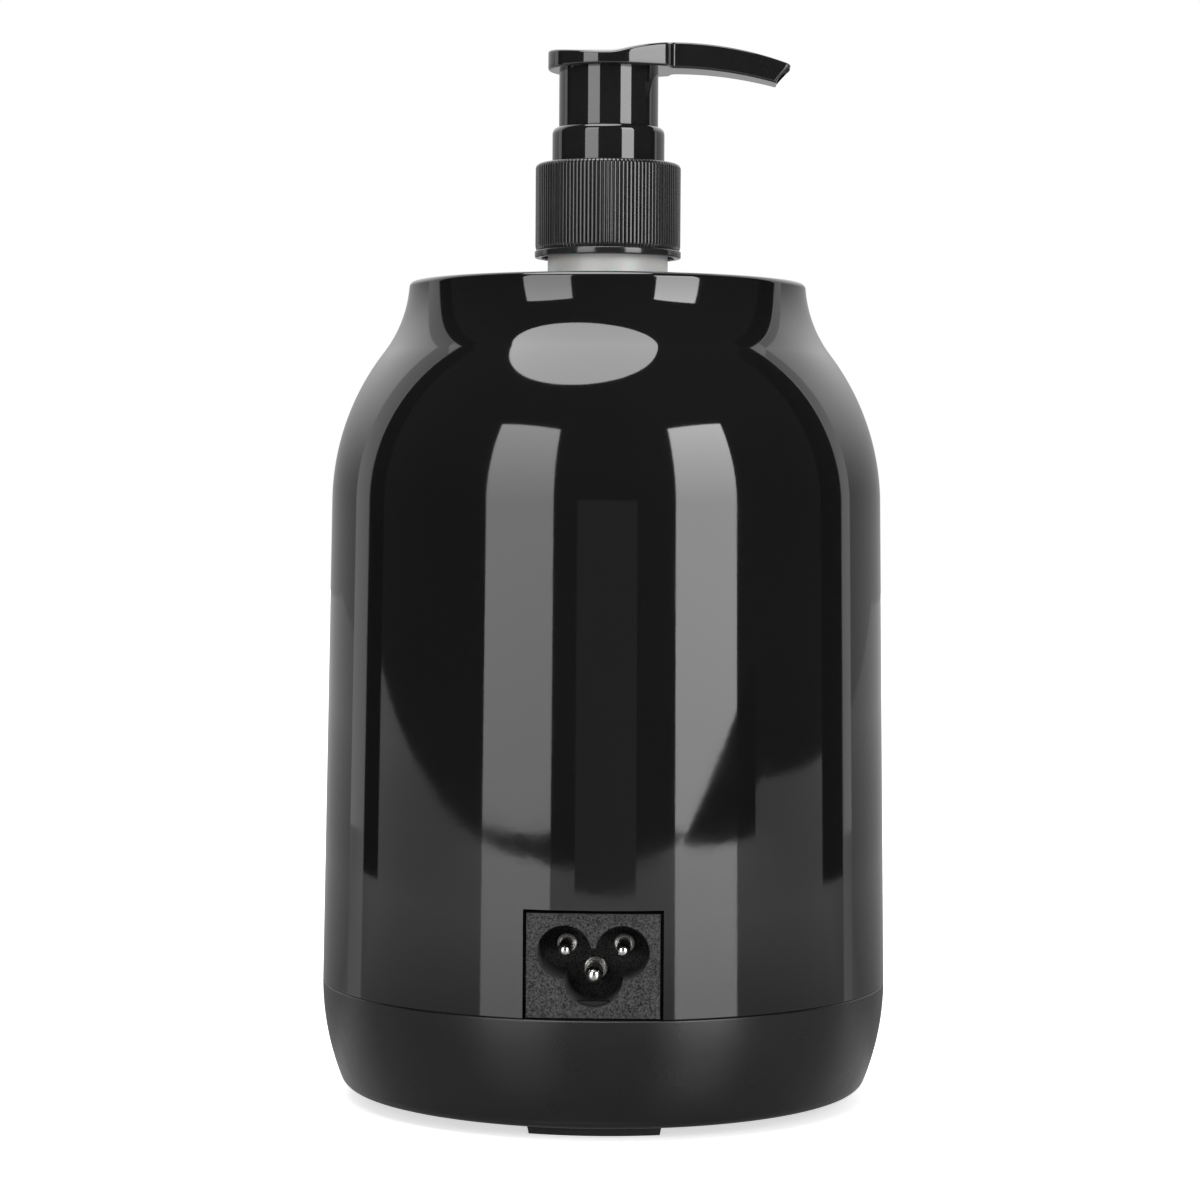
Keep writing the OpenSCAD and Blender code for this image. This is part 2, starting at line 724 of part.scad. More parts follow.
// Snap-disc cut-out under the cup's floor, with two blades
module thermal_cutout() color("#3a2a20") {
  translate([0, 0, cup_z - 1.2]) cylinder(h = 1.2, r = cutout_flange_r);
  translate([0, 0, cup_z - cutout_h]) cylinder(h = cutout_h - 1, r = cutout_r);
  for (y = [-1, 1]) translate([-1.5, y * 4.5 - 0.4, cup_z - cutout_h - 5]) cube([3, 0.8, 5 + eps]);
}

module temperature_sensor() color("#202020") {
  bar_y(sensor_x, cup_z - sensor_r, sensor_r, -sensor_len / 2, sensor_len / 2);
  translate([sensor_x - sensor_r, -sensor_len / 2, cup_z - sensor_r])
    cube([2 * sensor_r, sensor_len, sensor_r]);
}

// Three-pin inlet: a flat face with a three-lobed socket, and a flange behind the wall
module power_inlet() color("#242425") difference() {
  union() {
    translate([-inlet_w / 2, inlet_back_y, inlet_z]) cube([inlet_w, inlet_face_y - inlet_back_y, inlet_h]);
    translate([-inlet_flange_w / 2, inlet_flange_y - inlet_flange_t, inlet_z])
      cube([inlet_flange_w, inlet_flange_t, inlet_h]);
  }
  for (p = pins)
    bar_y(
      p[0], p[1], p[2] == earth_pin_r ? earth_lobe_r : lobe_r,
      inlet_face_y - socket_depth, inlet_face_y + 1
    );
  for (p = pins) bar_y(p[0], p[1], p[2] + seat_gap / 2, inlet_back_y - 1, inlet_face_y);
}

// Round-nosed pins with a collar on the socket's floor and a blade behind
module inlet_pins() color("#d4d4d6") for (p = pins) translate([p[0], 0, p[1]]) {
  floor_y = inlet_face_y - socket_depth;
  tip_y = inlet_face_y - pin_recess - p[2];
  bar_y(0, 0, p[2], inlet_back_y, tip_y);
  translate([0, tip_y, 0]) sphere(p[2]);
  bar_y(0, 0, p[2] + pin_collar_extra, floor_y, floor_y + pin_collar_h);
  translate([-pin_tab_w / 2, inlet_back_y - pin_tab_len, -pin_tab_t / 2])
    cube([pin_tab_w, pin_tab_len + 1, pin_tab_t]);
}

// Board with the supply: terminals, transformer, relay and capacitor
module power_board() color("#2f6b3c") difference() {
  union() {
    translate([-power_board_size.x / 2, -power_board_size.y / 2, power_board_z])
      cube([power_board_size.x, power_board_size.y, board_t]);
    on_power_board([0, terminal_y], terminal_size);
    on_power_board([0, heater_terminal_y], heater_terminal_size);
    on_power_board(transformer_place, transformer_size);
    on_power_board(relay_place, relay_size);
    translate([capacitor_place.x, capacitor_place.y, power_board_top - eps])
      cylinder(h = capacitor_h + eps, r = capacitor_r);
  }
  power_board_corners() translate([0, 0, power_board_z - 1]) cylinder(h = board_t + 2, r = board_hole_r);
}

module on_power_board(place, size) {
  translate([place.x - size.x / 2, place.y - size.y / 2, power_board_top - eps])
    cube([size.x, size.y, size.z + eps]);
}

module power_board_screws() color("silver") power_board_corners()
  translate([0, 0, power_board_top]) mirror([0, 0, 1])
    screw(small_screw_r - 0.05, small_screw_len, small_screw_head_r, small_screw_head_h);

// Upright board that carries the display and the switches
module control_board() color("#2f6b3c") difference() {
  translate([-board_w / 2, -board_front_y, board_z[0]]) cube([board_w, board_t, board_z[1] - board_z[0]]);
  for (x = [-1, 1], z = board_boss_z)
    bar_y(x * board_boss_x, z, board_hole_r, -board_front_y - 1, -board_front_y + board_t + 1);
}

module control_board_screws() color("silver") for (x = [-1, 1], z = board_boss_z)
  translate([x * board_boss_x, -board_front_y + board_t, z]) rotate([90, 0, 0])
    screw(small_screw_r - 0.05, small_screw_len, small_screw_head_r, small_screw_head_h);

module display_module() color("#20242a") translate([0, 0, lens_z])
  prism_y(-board_front_y - display_t, -board_front_y)
    rounded_rect(lens_w - display_margin, lens_h - display_margin, 1);

// Smoked window, curved with the housing and bonded into its ledge
module display_lens() color("#0a0c10") intersection() {
  translate([0, 0, lens_z]) prism_y(-body_r - 1, -board_front_y) rounded_rect(lens_w, lens_h, lens_corner_r);
  rotate_extrude() difference() {
    housing_outline(0, seam_z, shoulder_z);
    housing_outline(lens_t, seam_z - 1, shoulder_z + 1);
  }
}

module tact_switches() color("#303030") for (i = [-1 : 1]) translate([i * button_pitch, 0, button_z]) {
  body_h = tact_h - tact_plunger_h;
  translate([-tact_w / 2, -board_front_y - body_h, -tact_w / 2]) cube([tact_w, body_h, tact_w]);
  bar_y(0, 0, tact_plunger_r, -board_front_y - tact_h, -board_front_y - body_h + eps);
}

// Push button: a crown that follows the housing's curve and a flange behind the wall
module button(x) color("#1a1a1b") {
  intersection() {
    bar_y(x, button_z, button_r, -body_r - button_proud - 1, -button_flange_y + eps);
    rotate_extrude() housing_outline(-button_proud, seam_z, shoulder_z);
  }
  bar_y(x, button_z, button_r + button_flange_extra, -button_flange_y, -button_back_y);
}

module button_down() button(-button_pitch);
module button_power() button(0);
module button_up() button(button_pitch);

// Line, neutral and earth, from the inlet's blades to the terminals
module inlet_wires() color("#7a4a2a") {
  blade_y = inlet_back_y - pin_tab_len;
  terminal_top = power_board_top + terminal_size.z;
  for (side = [-1, 1]) {
    x = side * pin_pitch / 2;
    wire([[x, blade_y, line_pin_z], [x, terminal_y, line_pin_z], [x, terminal_y, terminal_top]]);
  }
  wire([[0, blade_y, earth_pin_z], [0, terminal_y, earth_pin_z], [0, terminal_y, terminal_top]]);
}

// Two leads from the ends of the heater band, under the cup and down to the board
module heater_leads() color("#b8b8b8") {
  lead_angle = (360 - heater_arc) / 2 + 3;
  lead_run_r = heater_r + heater_t / 2;
  lead_y = lead_run_r * cos(lead_angle);
  terminal_top = power_board_top + heater_terminal_size.z;
  for (side = [-1, 1]) {
    x = side * lead_run_r * sin(lead_angle);
    wire([
      [x, lead_y, heater_z], [x, lead_y, lead_z],
      [x, heater_terminal_y, lead_z], [x, heater_terminal_y, terminal_top]
    ], lead_r);
  }
}

module wire(points, r = wire_r) swept_tube(rounded_route(points, wire_bend), r, wire_sides, [1, 0, 0]);

// Flat cable from the power board up to the control board
module ribbon_cable() color("#9a9a9a") {
  board_back_y = -board_front_y + board_t;
  low_y = -power_board_size.y / 2 + 2 * ribbon_t;
  ribbon_top = board_boss_z[0];
  translate([-ribbon_w / 2, 0, 0]) rotate([90, 0, 90]) linear_extrude(ribbon_w) polygon([
    [low_y, power_board_top], [low_y, power_board_top + ribbon_bend[0]],
    [board_back_y, power_board_top + ribbon_bend[1]], [board_back_y, ribbon_top],
    [board_back_y + ribbon_t, ribbon_top],
    [board_back_y + ribbon_t, power_board_top + ribbon_bend[1] + ribbon_t],
    [low_y + ribbon_t, power_board_top + ribbon_bend[0] + ribbon_t / 2],
    [low_y + ribbon_t, power_board_top]
  ]);
}

// Half outline of the bottle's body and shoulder, drawn in by inset
module bottle_outline(inset) {
  vessel_outline(bottle_r - inset, bottle_z + inset, bottle_shoulder_z, bottle_edge_r - inset);
  intersection() {
    translate([bottle_r - bottle_shoulder_r, bottle_shoulder_z]) circle(bottle_shoulder_r - inset);
    translate([bottle_r - bottle_shoulder_r, bottle_shoulder_z]) square([bottle_shoulder_r, bottle_shoulder_r]);
  }
  translate([0, bottle_shoulder_z]) square([bottle_r - bottle_shoulder_r, bottle_shoulder_r - inset]);
}

// Blow-moulded bottle
module bottle() color("#e4e4e0") rotate_extrude() difference() {
  union() {
    bottle_outline(0);
    translate([0, bottle_shoulder_top - 1]) square([neck_r, neck_h + 1]);
    polygon([
      [0, bottle_shoulder_top - 1], [neck_r + neck_flare, bottle_shoulder_top - 1],
      [neck_r + neck_flare, bottle_shoulder_top], [neck_r, bottle_shoulder_top + neck_flare], [0, neck_top]
    ]);
  }
  difference() {
    bottle_outline(bottle_wall);
    square([bottle_dish_r + 1, bottle_z + bottle_dish_h + bottle_wall]);
  }
  translate([0, bottle_shoulder_top - neck_root]) square([neck_bore_r, neck_h + neck_root + 1]);
  translate([0, bottle_z - 1]) square([bottle_dish_r, bottle_dish_h + 1]);
}

module neck_gasket() color("#f0f0ee") ring(neck_bore_r, flange_r - 0.3, neck_top, neck_top + gasket_t);

// Pump cylinder: flange on the neck, piston bore, valve seat and the dip tube's socket
module pump_cylinder() color("#e8e8e6") rotate_extrude() difference() {
  polygon([
    [0, dip_socket_bottom], [spigot_r, dip_socket_bottom],
    [spigot_r, piston_floor_z - cylinder_floor_t - cylinder_step],
    [piston_bore_r + cylinder_wall, piston_floor_z - cylinder_floor_t],
    [piston_bore_r + cylinder_wall, collar_z - sleeve_len - cylinder_floor_t - cylinder_step],
    [cylinder_r, collar_z - sleeve_len - cylinder_floor_t], [cylinder_r, cylinder_flange_z],
    [flange_r, cylinder_flange_z], [flange_r, collar_z], [0, collar_z]
  ]);
  translate([0, collar_z - sleeve_len - 0.2]) square([cylinder_top_bore_r, sleeve_len + 1]);
  translate([0, piston_floor_z]) square([piston_bore_r, collar_z - piston_floor_z]);
  translate([0, valve_seat_z]) square([valve_bore_r, piston_floor_z - valve_cage_t - valve_seat_z]);
  translate([0, valve_seat_z]) square([valve_cage_r, piston_floor_z - valve_seat_z + 1]);
  polygon([
    [0, valve_seat_z + eps], [valve_bore_r, valve_seat_z + eps], [valve_bore_r, valve_seat_z],
    [valve_hole_r, valve_seat_z - valve_seat_h], [0, valve_seat_z - valve_seat_h]
  ]);
  translate([0, dip_socket_top - 1]) square([valve_hole_r, valve_seat_z - dip_socket_top + 1]);
  translate([0, dip_socket_bottom - 1]) square([dip_r + 0.05, dip_socket_h + 1]);
}

// Lock collar: flange under the cap's deck, guide for the head's skirt and a sleeve that holds the stem
module lock_collar() color("#0e0e0f") rotate_extrude() difference() {
  union() {
    translate([0, collar_z]) square([collar_r, collar_top - collar_z]);
    translate([0, collar_z]) square([flange_r, collar_flange_t]);
    translate([0, cap_top + cap_gap]) square([collar_r + collar_bead, collar_bead_h]);
    translate([0, collar_z - sleeve_len]) square([sleeve_r, sleeve_len + 1]);
  }
  translate([0, collar_z + collar_floor_t]) square([collar_bore_r, collar_top]);
  translate([0, collar_z - sleeve_len + sleeve_wall])
    square([sleeve_r - sleeve_wall, sleeve_len + collar_floor_t]);
  translate([0, collar_z - sleeve_len - 1]) square([stem_r + stem_gap, sleeve_len]);
  corner_cut([collar_r, collar_top], collar_edge_r);
}

module dip_tube() color("#f2f2f0")
  ring(dip_r - dip_wall, dip_r, bottle_z + bottle_dish_h + bottle_wall + dip_clear, dip_socket_top);

// Ball that rests on the conical seat
module valve_ball() color("#c8ccd0") translate([0, 0, ball_z]) sphere(ball_r);

// Screw cap: a ribbed skirt with a plain bead below and a rounded upper edge
module screw_cap() color("#0e0e0f") difference() {
  union() {
    translate([0, 0, cap_z]) linear_extrude(cap_h - cap_edge_r)
      polygon([for (i = [0 : 2 * cap_ribs - 1])
        (cap_r - cap_rib_depth * (i % 2)) * [cos(180 * i / cap_ribs), sin(180 * i / cap_ribs)]]);
    rotate_extrude() difference() {
      translate([0, cap_top - cap_edge_r]) square([cap_crown_r, cap_edge_r]);
      corner_cut([cap_crown_r, cap_top], cap_edge_r);
    }
    translate([0, 0, cap_z]) cylinder(h = cap_bead_h, r = cap_r + cap_bead);
  }
  translate([0, 0, cap_z - 1]) cylinder(h = cap_deck_z - cap_z + 1, r = cap_r - cap_wall);
  translate([0, 0, cap_z]) cylinder(h = cap_h + 1, r = collar_r + cap_gap + 0.05);
}

// Hollow stem from the piston up into the head
module pump_stem() color("#e8e8e6")
  ring(stem_bore_r, stem_r, piston_z + 1, pad_z - hub_socket_depth);

module piston() color("#f4f4f2") rotate_extrude() difference() {
  polygon([
    [stem_bore_r, piston_z], [piston_bore_r - piston_clear, piston_z],
    [piston_bore_r - piston_clear, piston_z + 1.2], [piston_bore_r - 0.8, piston_z + 2],
    [piston_bore_r - 0.8, piston_z + piston_h - 2], [piston_bore_r - piston_clear, piston_z + piston_h - 1.2],
    [piston_bore_r - piston_clear, piston_z + piston_h], [stem_bore_r, piston_z + piston_h]
  ]);
  translate([0, piston_z + 1]) square([stem_r + 0.02, piston_h]);
}

// Compression spring, one unbroken tube along a helix
module pump_spring() color("#a8abb0") swept_tube(
  [for (i = [0 : spring_turns * spring_rings])
    let (a = 360 * i / spring_rings, t = i / (spring_turns * spring_rings))
    [spring_r * cos(a), spring_r * sin(a), spring_z + t * (spring_top - spring_z)]],
  spring_wire_r, spring_sides, [0, 0, 1]
);

// Side outline of the pad and spout, with the spout along +X
module head_side() {
  tip_cut = [
    [spout_reach, spout_tip_z],
    [spout_reach - 2 * spout_t * tan(tip_cut_angle), spout_tip_z - 2 * spout_t]
  ];
  difference() {
    union() {
      translate([-pad_r, pad_z]) square([pad_r + crest_x + crest_lap, pad_t]);
      intersection() {
        translate(crest_back_centre) circle(crest_back_r);
        translate([pad_blend_x, pad_z]) square([crest_x + crest_lap - pad_blend_x, pad_t + 2 * crest_rise]);
      }
      polygon([[pad_blend_x, pad_z], [pad_blend_end.x, pad_z], pad_blend_end, [pad_blend_x, pad_top]]);
    }
    translate(pad_blend_centre - [0, hair]) circle(pad_blend_r);
  }
  difference() {
    intersection() {
      translate(spout_centre) circle(spout_outer_r);
      polygon([
        [crest_x, pad_top + 2 * crest_rise], [spout_reach + 1, pad_top + 2 * crest_rise],
        [spout_reach + 1, spout_tip_z], tip_cut[0], tip_cut[1], [crest_x, spout_tip_z - 2 * spout_t]
      ]);
    }
    translate(spout_centre) circle(spout_inner_r);
  }
}

// Plan of the pad and spout: two wider arcs and a straight run carry the round pad on to the spout
module head_plan() {
  circle(pad_r);
  polygon([
    [0, -spout_half[0]], [spout_reach + 1, -spout_half[1]], [spout_reach + 1, spout_half[1]], [0, spout_half[0]]
  ]);
  intersection() {
    translate([0, neck_arc_y]) circle(neck_arc_r);
    translate([0, -neck_arc_y]) circle(neck_arc_r);
    polygon([
      [0, pad_r], neck_cut[0], neck_cut[1],
      [neck_cut[1].x, -neck_cut[1].y], [neck_cut[0].x, -neck_cut[0].y], [0, -pad_r]
    ]);
  }
}

// Pump head: pad, spout, skirt and the hub that grips the stem
module pump_head() color("#0e0e0f") rotate([0, 0, 180]) difference() {
  union() {
    intersection() {
      prism_y(-pad_r - 1, pad_r + 1) head_side();
      translate([0, 0, spout_tip_z - 3 * spout_t]) linear_extrude(6 * spout_t) head_plan();
    }
    ring(skirt_r - skirt_wall, skirt_r, skirt_bottom, pad_z + eps);
    translate([0, 0, skirt_bottom + 0.2]) cylinder(h = pad_z - skirt_bottom, r = hub_r);
  }
  translate([0, 0, skirt_bottom - 1])
    cylinder(h = pad_z - hub_socket_depth - skirt_bottom + 1, r = stem_r + 0.02);
  translate([0, 0, skirt_bottom]) cylinder(h = pad_z + 1.5 - skirt_bottom, r = stem_bore_r);
  translate([spout_centre.x, 0, spout_centre.y]) rotate([90, 0, 0]) rotate([0, 0, 66])
    rotate_extrude(angle = 36) translate([spout_mid_r, 0]) circle(spout_channel_r);
}

outer_shell();
base();
rubber_feet();
base_screws();
heating_cup();
cup_seal();
cup_support();
heater_band();
insulation_sleeve();
thermal_cutout();
temperature_sensor();
power_inlet();
inlet_pins();
power_board();
power_board_screws();
control_board();
control_board_screws();
display_module();
display_lens();
tact_switches();
inlet_wires();
heater_leads();
ribbon_cable();
button_down();
button_power();
button_up();
bottle();
neck_gasket();
pump_cylinder();
lock_collar();
dip_tube();
valve_ball();
screw_cap();
pump_stem();
piston();
pump_spring();
pump_head();
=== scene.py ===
import math

import bpy
from mathutils import Matrix, Vector


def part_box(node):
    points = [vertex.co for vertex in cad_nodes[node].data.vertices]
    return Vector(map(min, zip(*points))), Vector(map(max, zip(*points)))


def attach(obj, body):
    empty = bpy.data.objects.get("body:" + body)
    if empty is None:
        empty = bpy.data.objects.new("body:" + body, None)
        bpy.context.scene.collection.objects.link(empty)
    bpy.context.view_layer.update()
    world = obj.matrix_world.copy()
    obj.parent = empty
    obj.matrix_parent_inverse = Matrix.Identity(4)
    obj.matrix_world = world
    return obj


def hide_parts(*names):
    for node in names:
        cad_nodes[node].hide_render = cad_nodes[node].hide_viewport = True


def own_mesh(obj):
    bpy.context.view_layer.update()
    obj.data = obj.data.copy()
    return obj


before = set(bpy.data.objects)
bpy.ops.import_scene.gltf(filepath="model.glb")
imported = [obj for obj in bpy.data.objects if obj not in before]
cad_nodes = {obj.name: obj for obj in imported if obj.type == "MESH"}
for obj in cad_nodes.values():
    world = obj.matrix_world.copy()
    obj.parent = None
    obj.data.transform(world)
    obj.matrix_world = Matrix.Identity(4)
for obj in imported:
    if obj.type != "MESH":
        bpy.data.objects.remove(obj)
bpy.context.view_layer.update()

scene = bpy.context.scene
scene.view_settings.view_transform = "Standard"

# The object's lengths are in millimetres, those of the camera and the studio in metres
MM = 0.001
QUARTER = math.pi / 2

# Housing outline: a tapered wall, a convex shoulder and a concave run up to the rim, tangent to each other
BODY_R, SHOULDER_R, SEAM_Z, SHOULDER_Z = 52.0, 50.6, 21.5, 110.0
CONVEX_R, CONCAVE_R = 45.5, 23.0
RIM_R, RIM_Z, RIM_EDGE = 36.5, 150.0, 1.0
WALL, LIP_R, LIP_Z = 2.4, 32.2, 147.6
SEAM_EDGE = 0.3
TAPER = math.atan2(BODY_R - SHOULDER_R, SHOULDER_Z - SEAM_Z)
CONVEX_X = SHOULDER_R - CONVEX_R * math.cos(TAPER)
CONVEX_Z = SHOULDER_Z - CONVEX_R * math.sin(TAPER)
CONCAVE_X = RIM_R + CONCAVE_R
CONCAVE_Z = CONVEX_Z + math.sqrt((CONVEX_R + CONCAVE_R) ** 2 - (CONCAVE_X - CONVEX_X) ** 2)
TURN = math.atan2(CONCAVE_Z - CONVEX_Z, CONCAVE_X - CONVEX_X)
RIM_EDGE_Z = RIM_Z - RIM_EDGE
RIM_EDGE_X = CONCAVE_X - math.sqrt((CONCAVE_R + RIM_EDGE) ** 2 - (CONCAVE_Z - RIM_EDGE_Z) ** 2)
RIM_MEET = math.atan2(CONCAVE_Z - RIM_EDGE_Z, CONCAVE_X - RIM_EDGE_X)
RIM_MEET_Z = CONCAVE_Z + CONCAVE_R * math.sin(math.pi + RIM_MEET)


# Mesh helpers

def arc(cx, cz, r, a0, a1, n):
    """n + 1 points on an arc, angles in radians."""
    angles = [a0 + (a1 - a0) * i / n for i in range(n + 1)]
    return [(cx + r * math.cos(a), cz + r * math.sin(a)) for a in angles]


def circle(cx, cz, r, n):
    """n points round a circle."""
    return arc(cx, cz, r, 0, 2 * math.pi, n)[:-1]


def line(p, q, n):
    """n points from p towards q, without q."""
    return [(p[0] + (q[0] - p[0]) * i / n, p[1] + (q[1] - p[1]) * i / n) for i in range(n)]


def bar(u0, v0, u1, v1):
    """Rectangle between two corners, anticlockwise."""
    return [(u0, v0), (u1, v0), (u1, v1), (u0, v1)]


def rounded_rect(cz, w, h, r):
    """Rectangle with round corners, centred on x = 0."""
    out = []
    for sx, sz, a in ((1, 1, 0), (-1, 1, 90), (-1, -1, 180), (1, -1, 270)):
        out += arc(sx * (w / 2 - r), cz + sz * (h / 2 - r), r, math.radians(a), math.radians(a + 90), 10)
    return out


SMOOTH_ANGLE = 32


def smooth(obj, angle):
    """Smooth shading up to an angle in degrees between faces."""
    obj.data.shade_smooth()
    obj.data.set_sharp_from_angle(angle=math.radians(angle))


def mesh_object(name, verts, faces, angle=SMOOTH_ANGLE):
    mesh = bpy.data.meshes.new(name)
    mesh.from_pydata([tuple(c * MM for c in v) for v in verts], [], faces)
    mesh.update()
    obj = bpy.data.objects.new(name, mesh)
    scene.collection.objects.link(obj)
    smooth(obj, angle)
    return obj


def skin(rings, sides, start=0, wrap=False, flip=False):
    """Faces of a tube of point rings: its quads, and its two ends unless the last ring joins the first."""
    faces = []
    for i in range(rings if wrap else rings - 1):
        low, high = start + i * sides, start + (i + 1) % rings * sides
        for k in range(sides):
            n = (k + 1) % sides
            if flip:
                faces.append([low + k, low + n, high + n, high + k])
            else:
                faces.append([low + k, high + k, high + n, low + n])
    if not wrap:
        first = [start + k for k in range(sides)]
        last = [start + (rings - 1) * sides + k for k in range(sides)]
        faces += [first[::-1], last] if flip else [first, last[::-1]]
    return faces


def lathe(name, profile, segments, angle=SMOOTH_ANGLE):
    """Turns a closed outline of (r, z), anticlockwise with r to the right."""
    verts, rows = [], []
    for r, z in profile:
        if r < 1e-6:
            rows.append([len(verts)] * segments)
            verts.append((0.0, 0.0, z))
        else:
            rows.append([len(verts) + k for k in range(segments)])
            verts += [(x, y, z) for x, y in circle(0, 0, r, segments)]
    faces = []
    for i, low in enumerate(rows):
        high = rows[(i + 1) % len(rows)]
        for k in range(segments):
            n = (k + 1) % segments
            face = list(dict.fromkeys((low[k], low[n], high[n], high[k])))
            if len(face) > 2:
                faces.append(face)
    return mesh_object(name, verts, faces, angle)


def prism_y(name, outline, depths):
    """Outline of (x, z), anticlockwise, between two depths."""
    return mesh_object(name, [(x, y, z) for y in depths for x, z in outline], skin(2, len(outline)))


def prism_z(name, outline, heights):
    """Outline of (x, y), anticlockwise from above, between two heights."""
    verts = [(x, y, z) for z in heights for x, y in outline]
    return mesh_object(name, verts, skin(2, len(outline), flip=True))


def cut(obj, *tools):
    """Takes the tools out of a mesh and removes them."""
    for tool in tools:
        step = obj.modifiers.new("cut", "BOOLEAN")
        step.operation, step.solver, step.object = "DIFFERENCE", "EXACT", tool
    graph = bpy.context.evaluated_depsgraph_get()
    mesh = bpy.data.meshes.new_from_object(obj.evaluated_get(graph))
    obj.modifiers.clear()
    old = obj.data
    obj.data = mesh
    mesh.name = old.name + "_cut"
    bpy.data.meshes.remove(old)
    for tool in tools:
        bpy.data.objects.remove(tool)
    smooth(obj, SMOOTH_ANGLE)
    return obj


def round_edges(obj, width, segments):
    bevel = obj.modifiers.new("edges", "BEVEL")
    bevel.width, bevel.segments = width * MM, segments
    bevel.limit_method, bevel.angle_limit = "ANGLE", math.radians(40)


def housing_radius(z, inset=0.0):
    """The housing's radius at a height, drawn in by inset."""
    convex_r, concave_r = CONVEX_R - inset, CONCAVE_R + inset
    if z <= CONVEX_Z + convex_r * math.sin(TAPER):
        return BODY_R - inset / math.cos(TAPER) - (z - SEAM_Z) * math.tan(TAPER)
    if z <= CONVEX_Z + convex_r * math.sin(TURN):
        return CONVEX_X + math.sqrt(convex_r ** 2 - (z - CONVEX_Z) ** 2)
    return CONCAVE_X - math.sqrt(concave_r ** 2 - (z - CONCAVE_Z) ** 2)


def housing_normal(z):
    """(radial, vertical) normal of the housing's outside at a height."""
    r = housing_radius(z)
    if z <= SHOULDER_Z:
        return math.cos(TAPER), math.sin(TAPER)
    if z <= CONVEX_Z + CONVEX_R * math.sin(TURN):
        return (r - CONVEX_X) / CONVEX_R, (z - CONVEX_Z) / CONVEX_R
    return (CONCAVE_X - r) / CONCAVE_R, (CONCAVE_Z - z) / CONCAVE_R


def housing_profile(inset, z0, z1, wall_n, convex_n, concave_n):
    """The housing's outline from z0 up to z1, drawn in by inset."""
    convex_r, concave_r = CONVEX_R - inset, CONCAVE_R + inset
    shoulder = arc(CONVEX_X, CONVEX_Z, convex_r, TAPER, TURN, convex_n)
    end = math.pi - math.asin((z1 - CONCAVE_Z) / concave_r)
    run = arc(CONCAVE_X, CONCAVE_Z, concave_r, math.pi + TURN, end, concave_n)
    return line((housing_radius(z0, inset), z0), shoulder[0], wall_n) + shoulder + run[1:]


NEAR_OUTSIDE, SEAM_MARGIN, SAME_WAY = 0.02, 0.2, 0.97


def true_normals(obj):
    """Gives faces on the housing's outside its exact normals, so that reflections run clean past the cuts."""
    mesh = obj.data
    normals = [(0.0, 0.0, 0.0)] * len(mesh.loops)
    for poly in mesh.polygons:
        found = []
        for i in poly.loop_indices:
            v = mesh.vertices[mesh.loops[i].vertex_index].co / MM
            r = math.hypot(v.x, v.y)
            if not SEAM_Z + SEAM_MARGIN <= v.z <= RIM_MEET_Z - NEAR_OUTSIDE:
                break
            if abs(r - housing_radius(v.z)) > NEAR_OUTSIDE:
                break
            nr, nz = housing_normal(v.z)
            found.append((i, (nr * v.x / r, nr * v.y / r, nz)))
        else:
            if all(poly.normal.dot(Vector(n)) > SAME_WAY for _, n in found):
                for i, n in found:
                    normals[i] = n
    mesh.normals_split_custom_set(normals)


# Materials

def new_material(name):
    mat = bpy.data.materials.new(name)
    mat.use_nodes = True
    return mat, mat.node_tree


def add_node(tree, kind, inputs=None, operation=None):
    """Shader node whose inputs, by name or number, take a value or another node's output."""
    made = tree.nodes.new("ShaderNode" + kind)
    if operation:
        made.operation = operation
    for key, value in (inputs or {}).items():
        if isinstance(value, bpy.types.NodeSocket):
            tree.links.new(value, made.inputs[key])
        else:
            made.inputs[key].default_value = value
    return made


def remap(tree, value, source, target, interpolation="LINEAR"):
    """Output that follows value from one range to another; the ends may be outputs too."""
    made = add_node(tree, "MapRange", {
        "Value": value, "From Min": source[0], "From Max": source[1], "To Min": target[0], "To Max": target[1],
    })
    made.interpolation_type = interpolation
    return made.outputs["Result"]


def set_surface(tree, output):
    tree.links.new(output, tree.nodes["Material Output"].inputs["Surface"])


METAL = None
NOISE_SPAN, ROUGHNESS_PATCH = (0.3, 0.7), 2.3
TONE_NOISE, ROUGHNESS_NOISE, BUMP_NOISE = (4.0, 0.55), (6.0, 0.65), (3.0, 0.55)     # (detail, roughness)


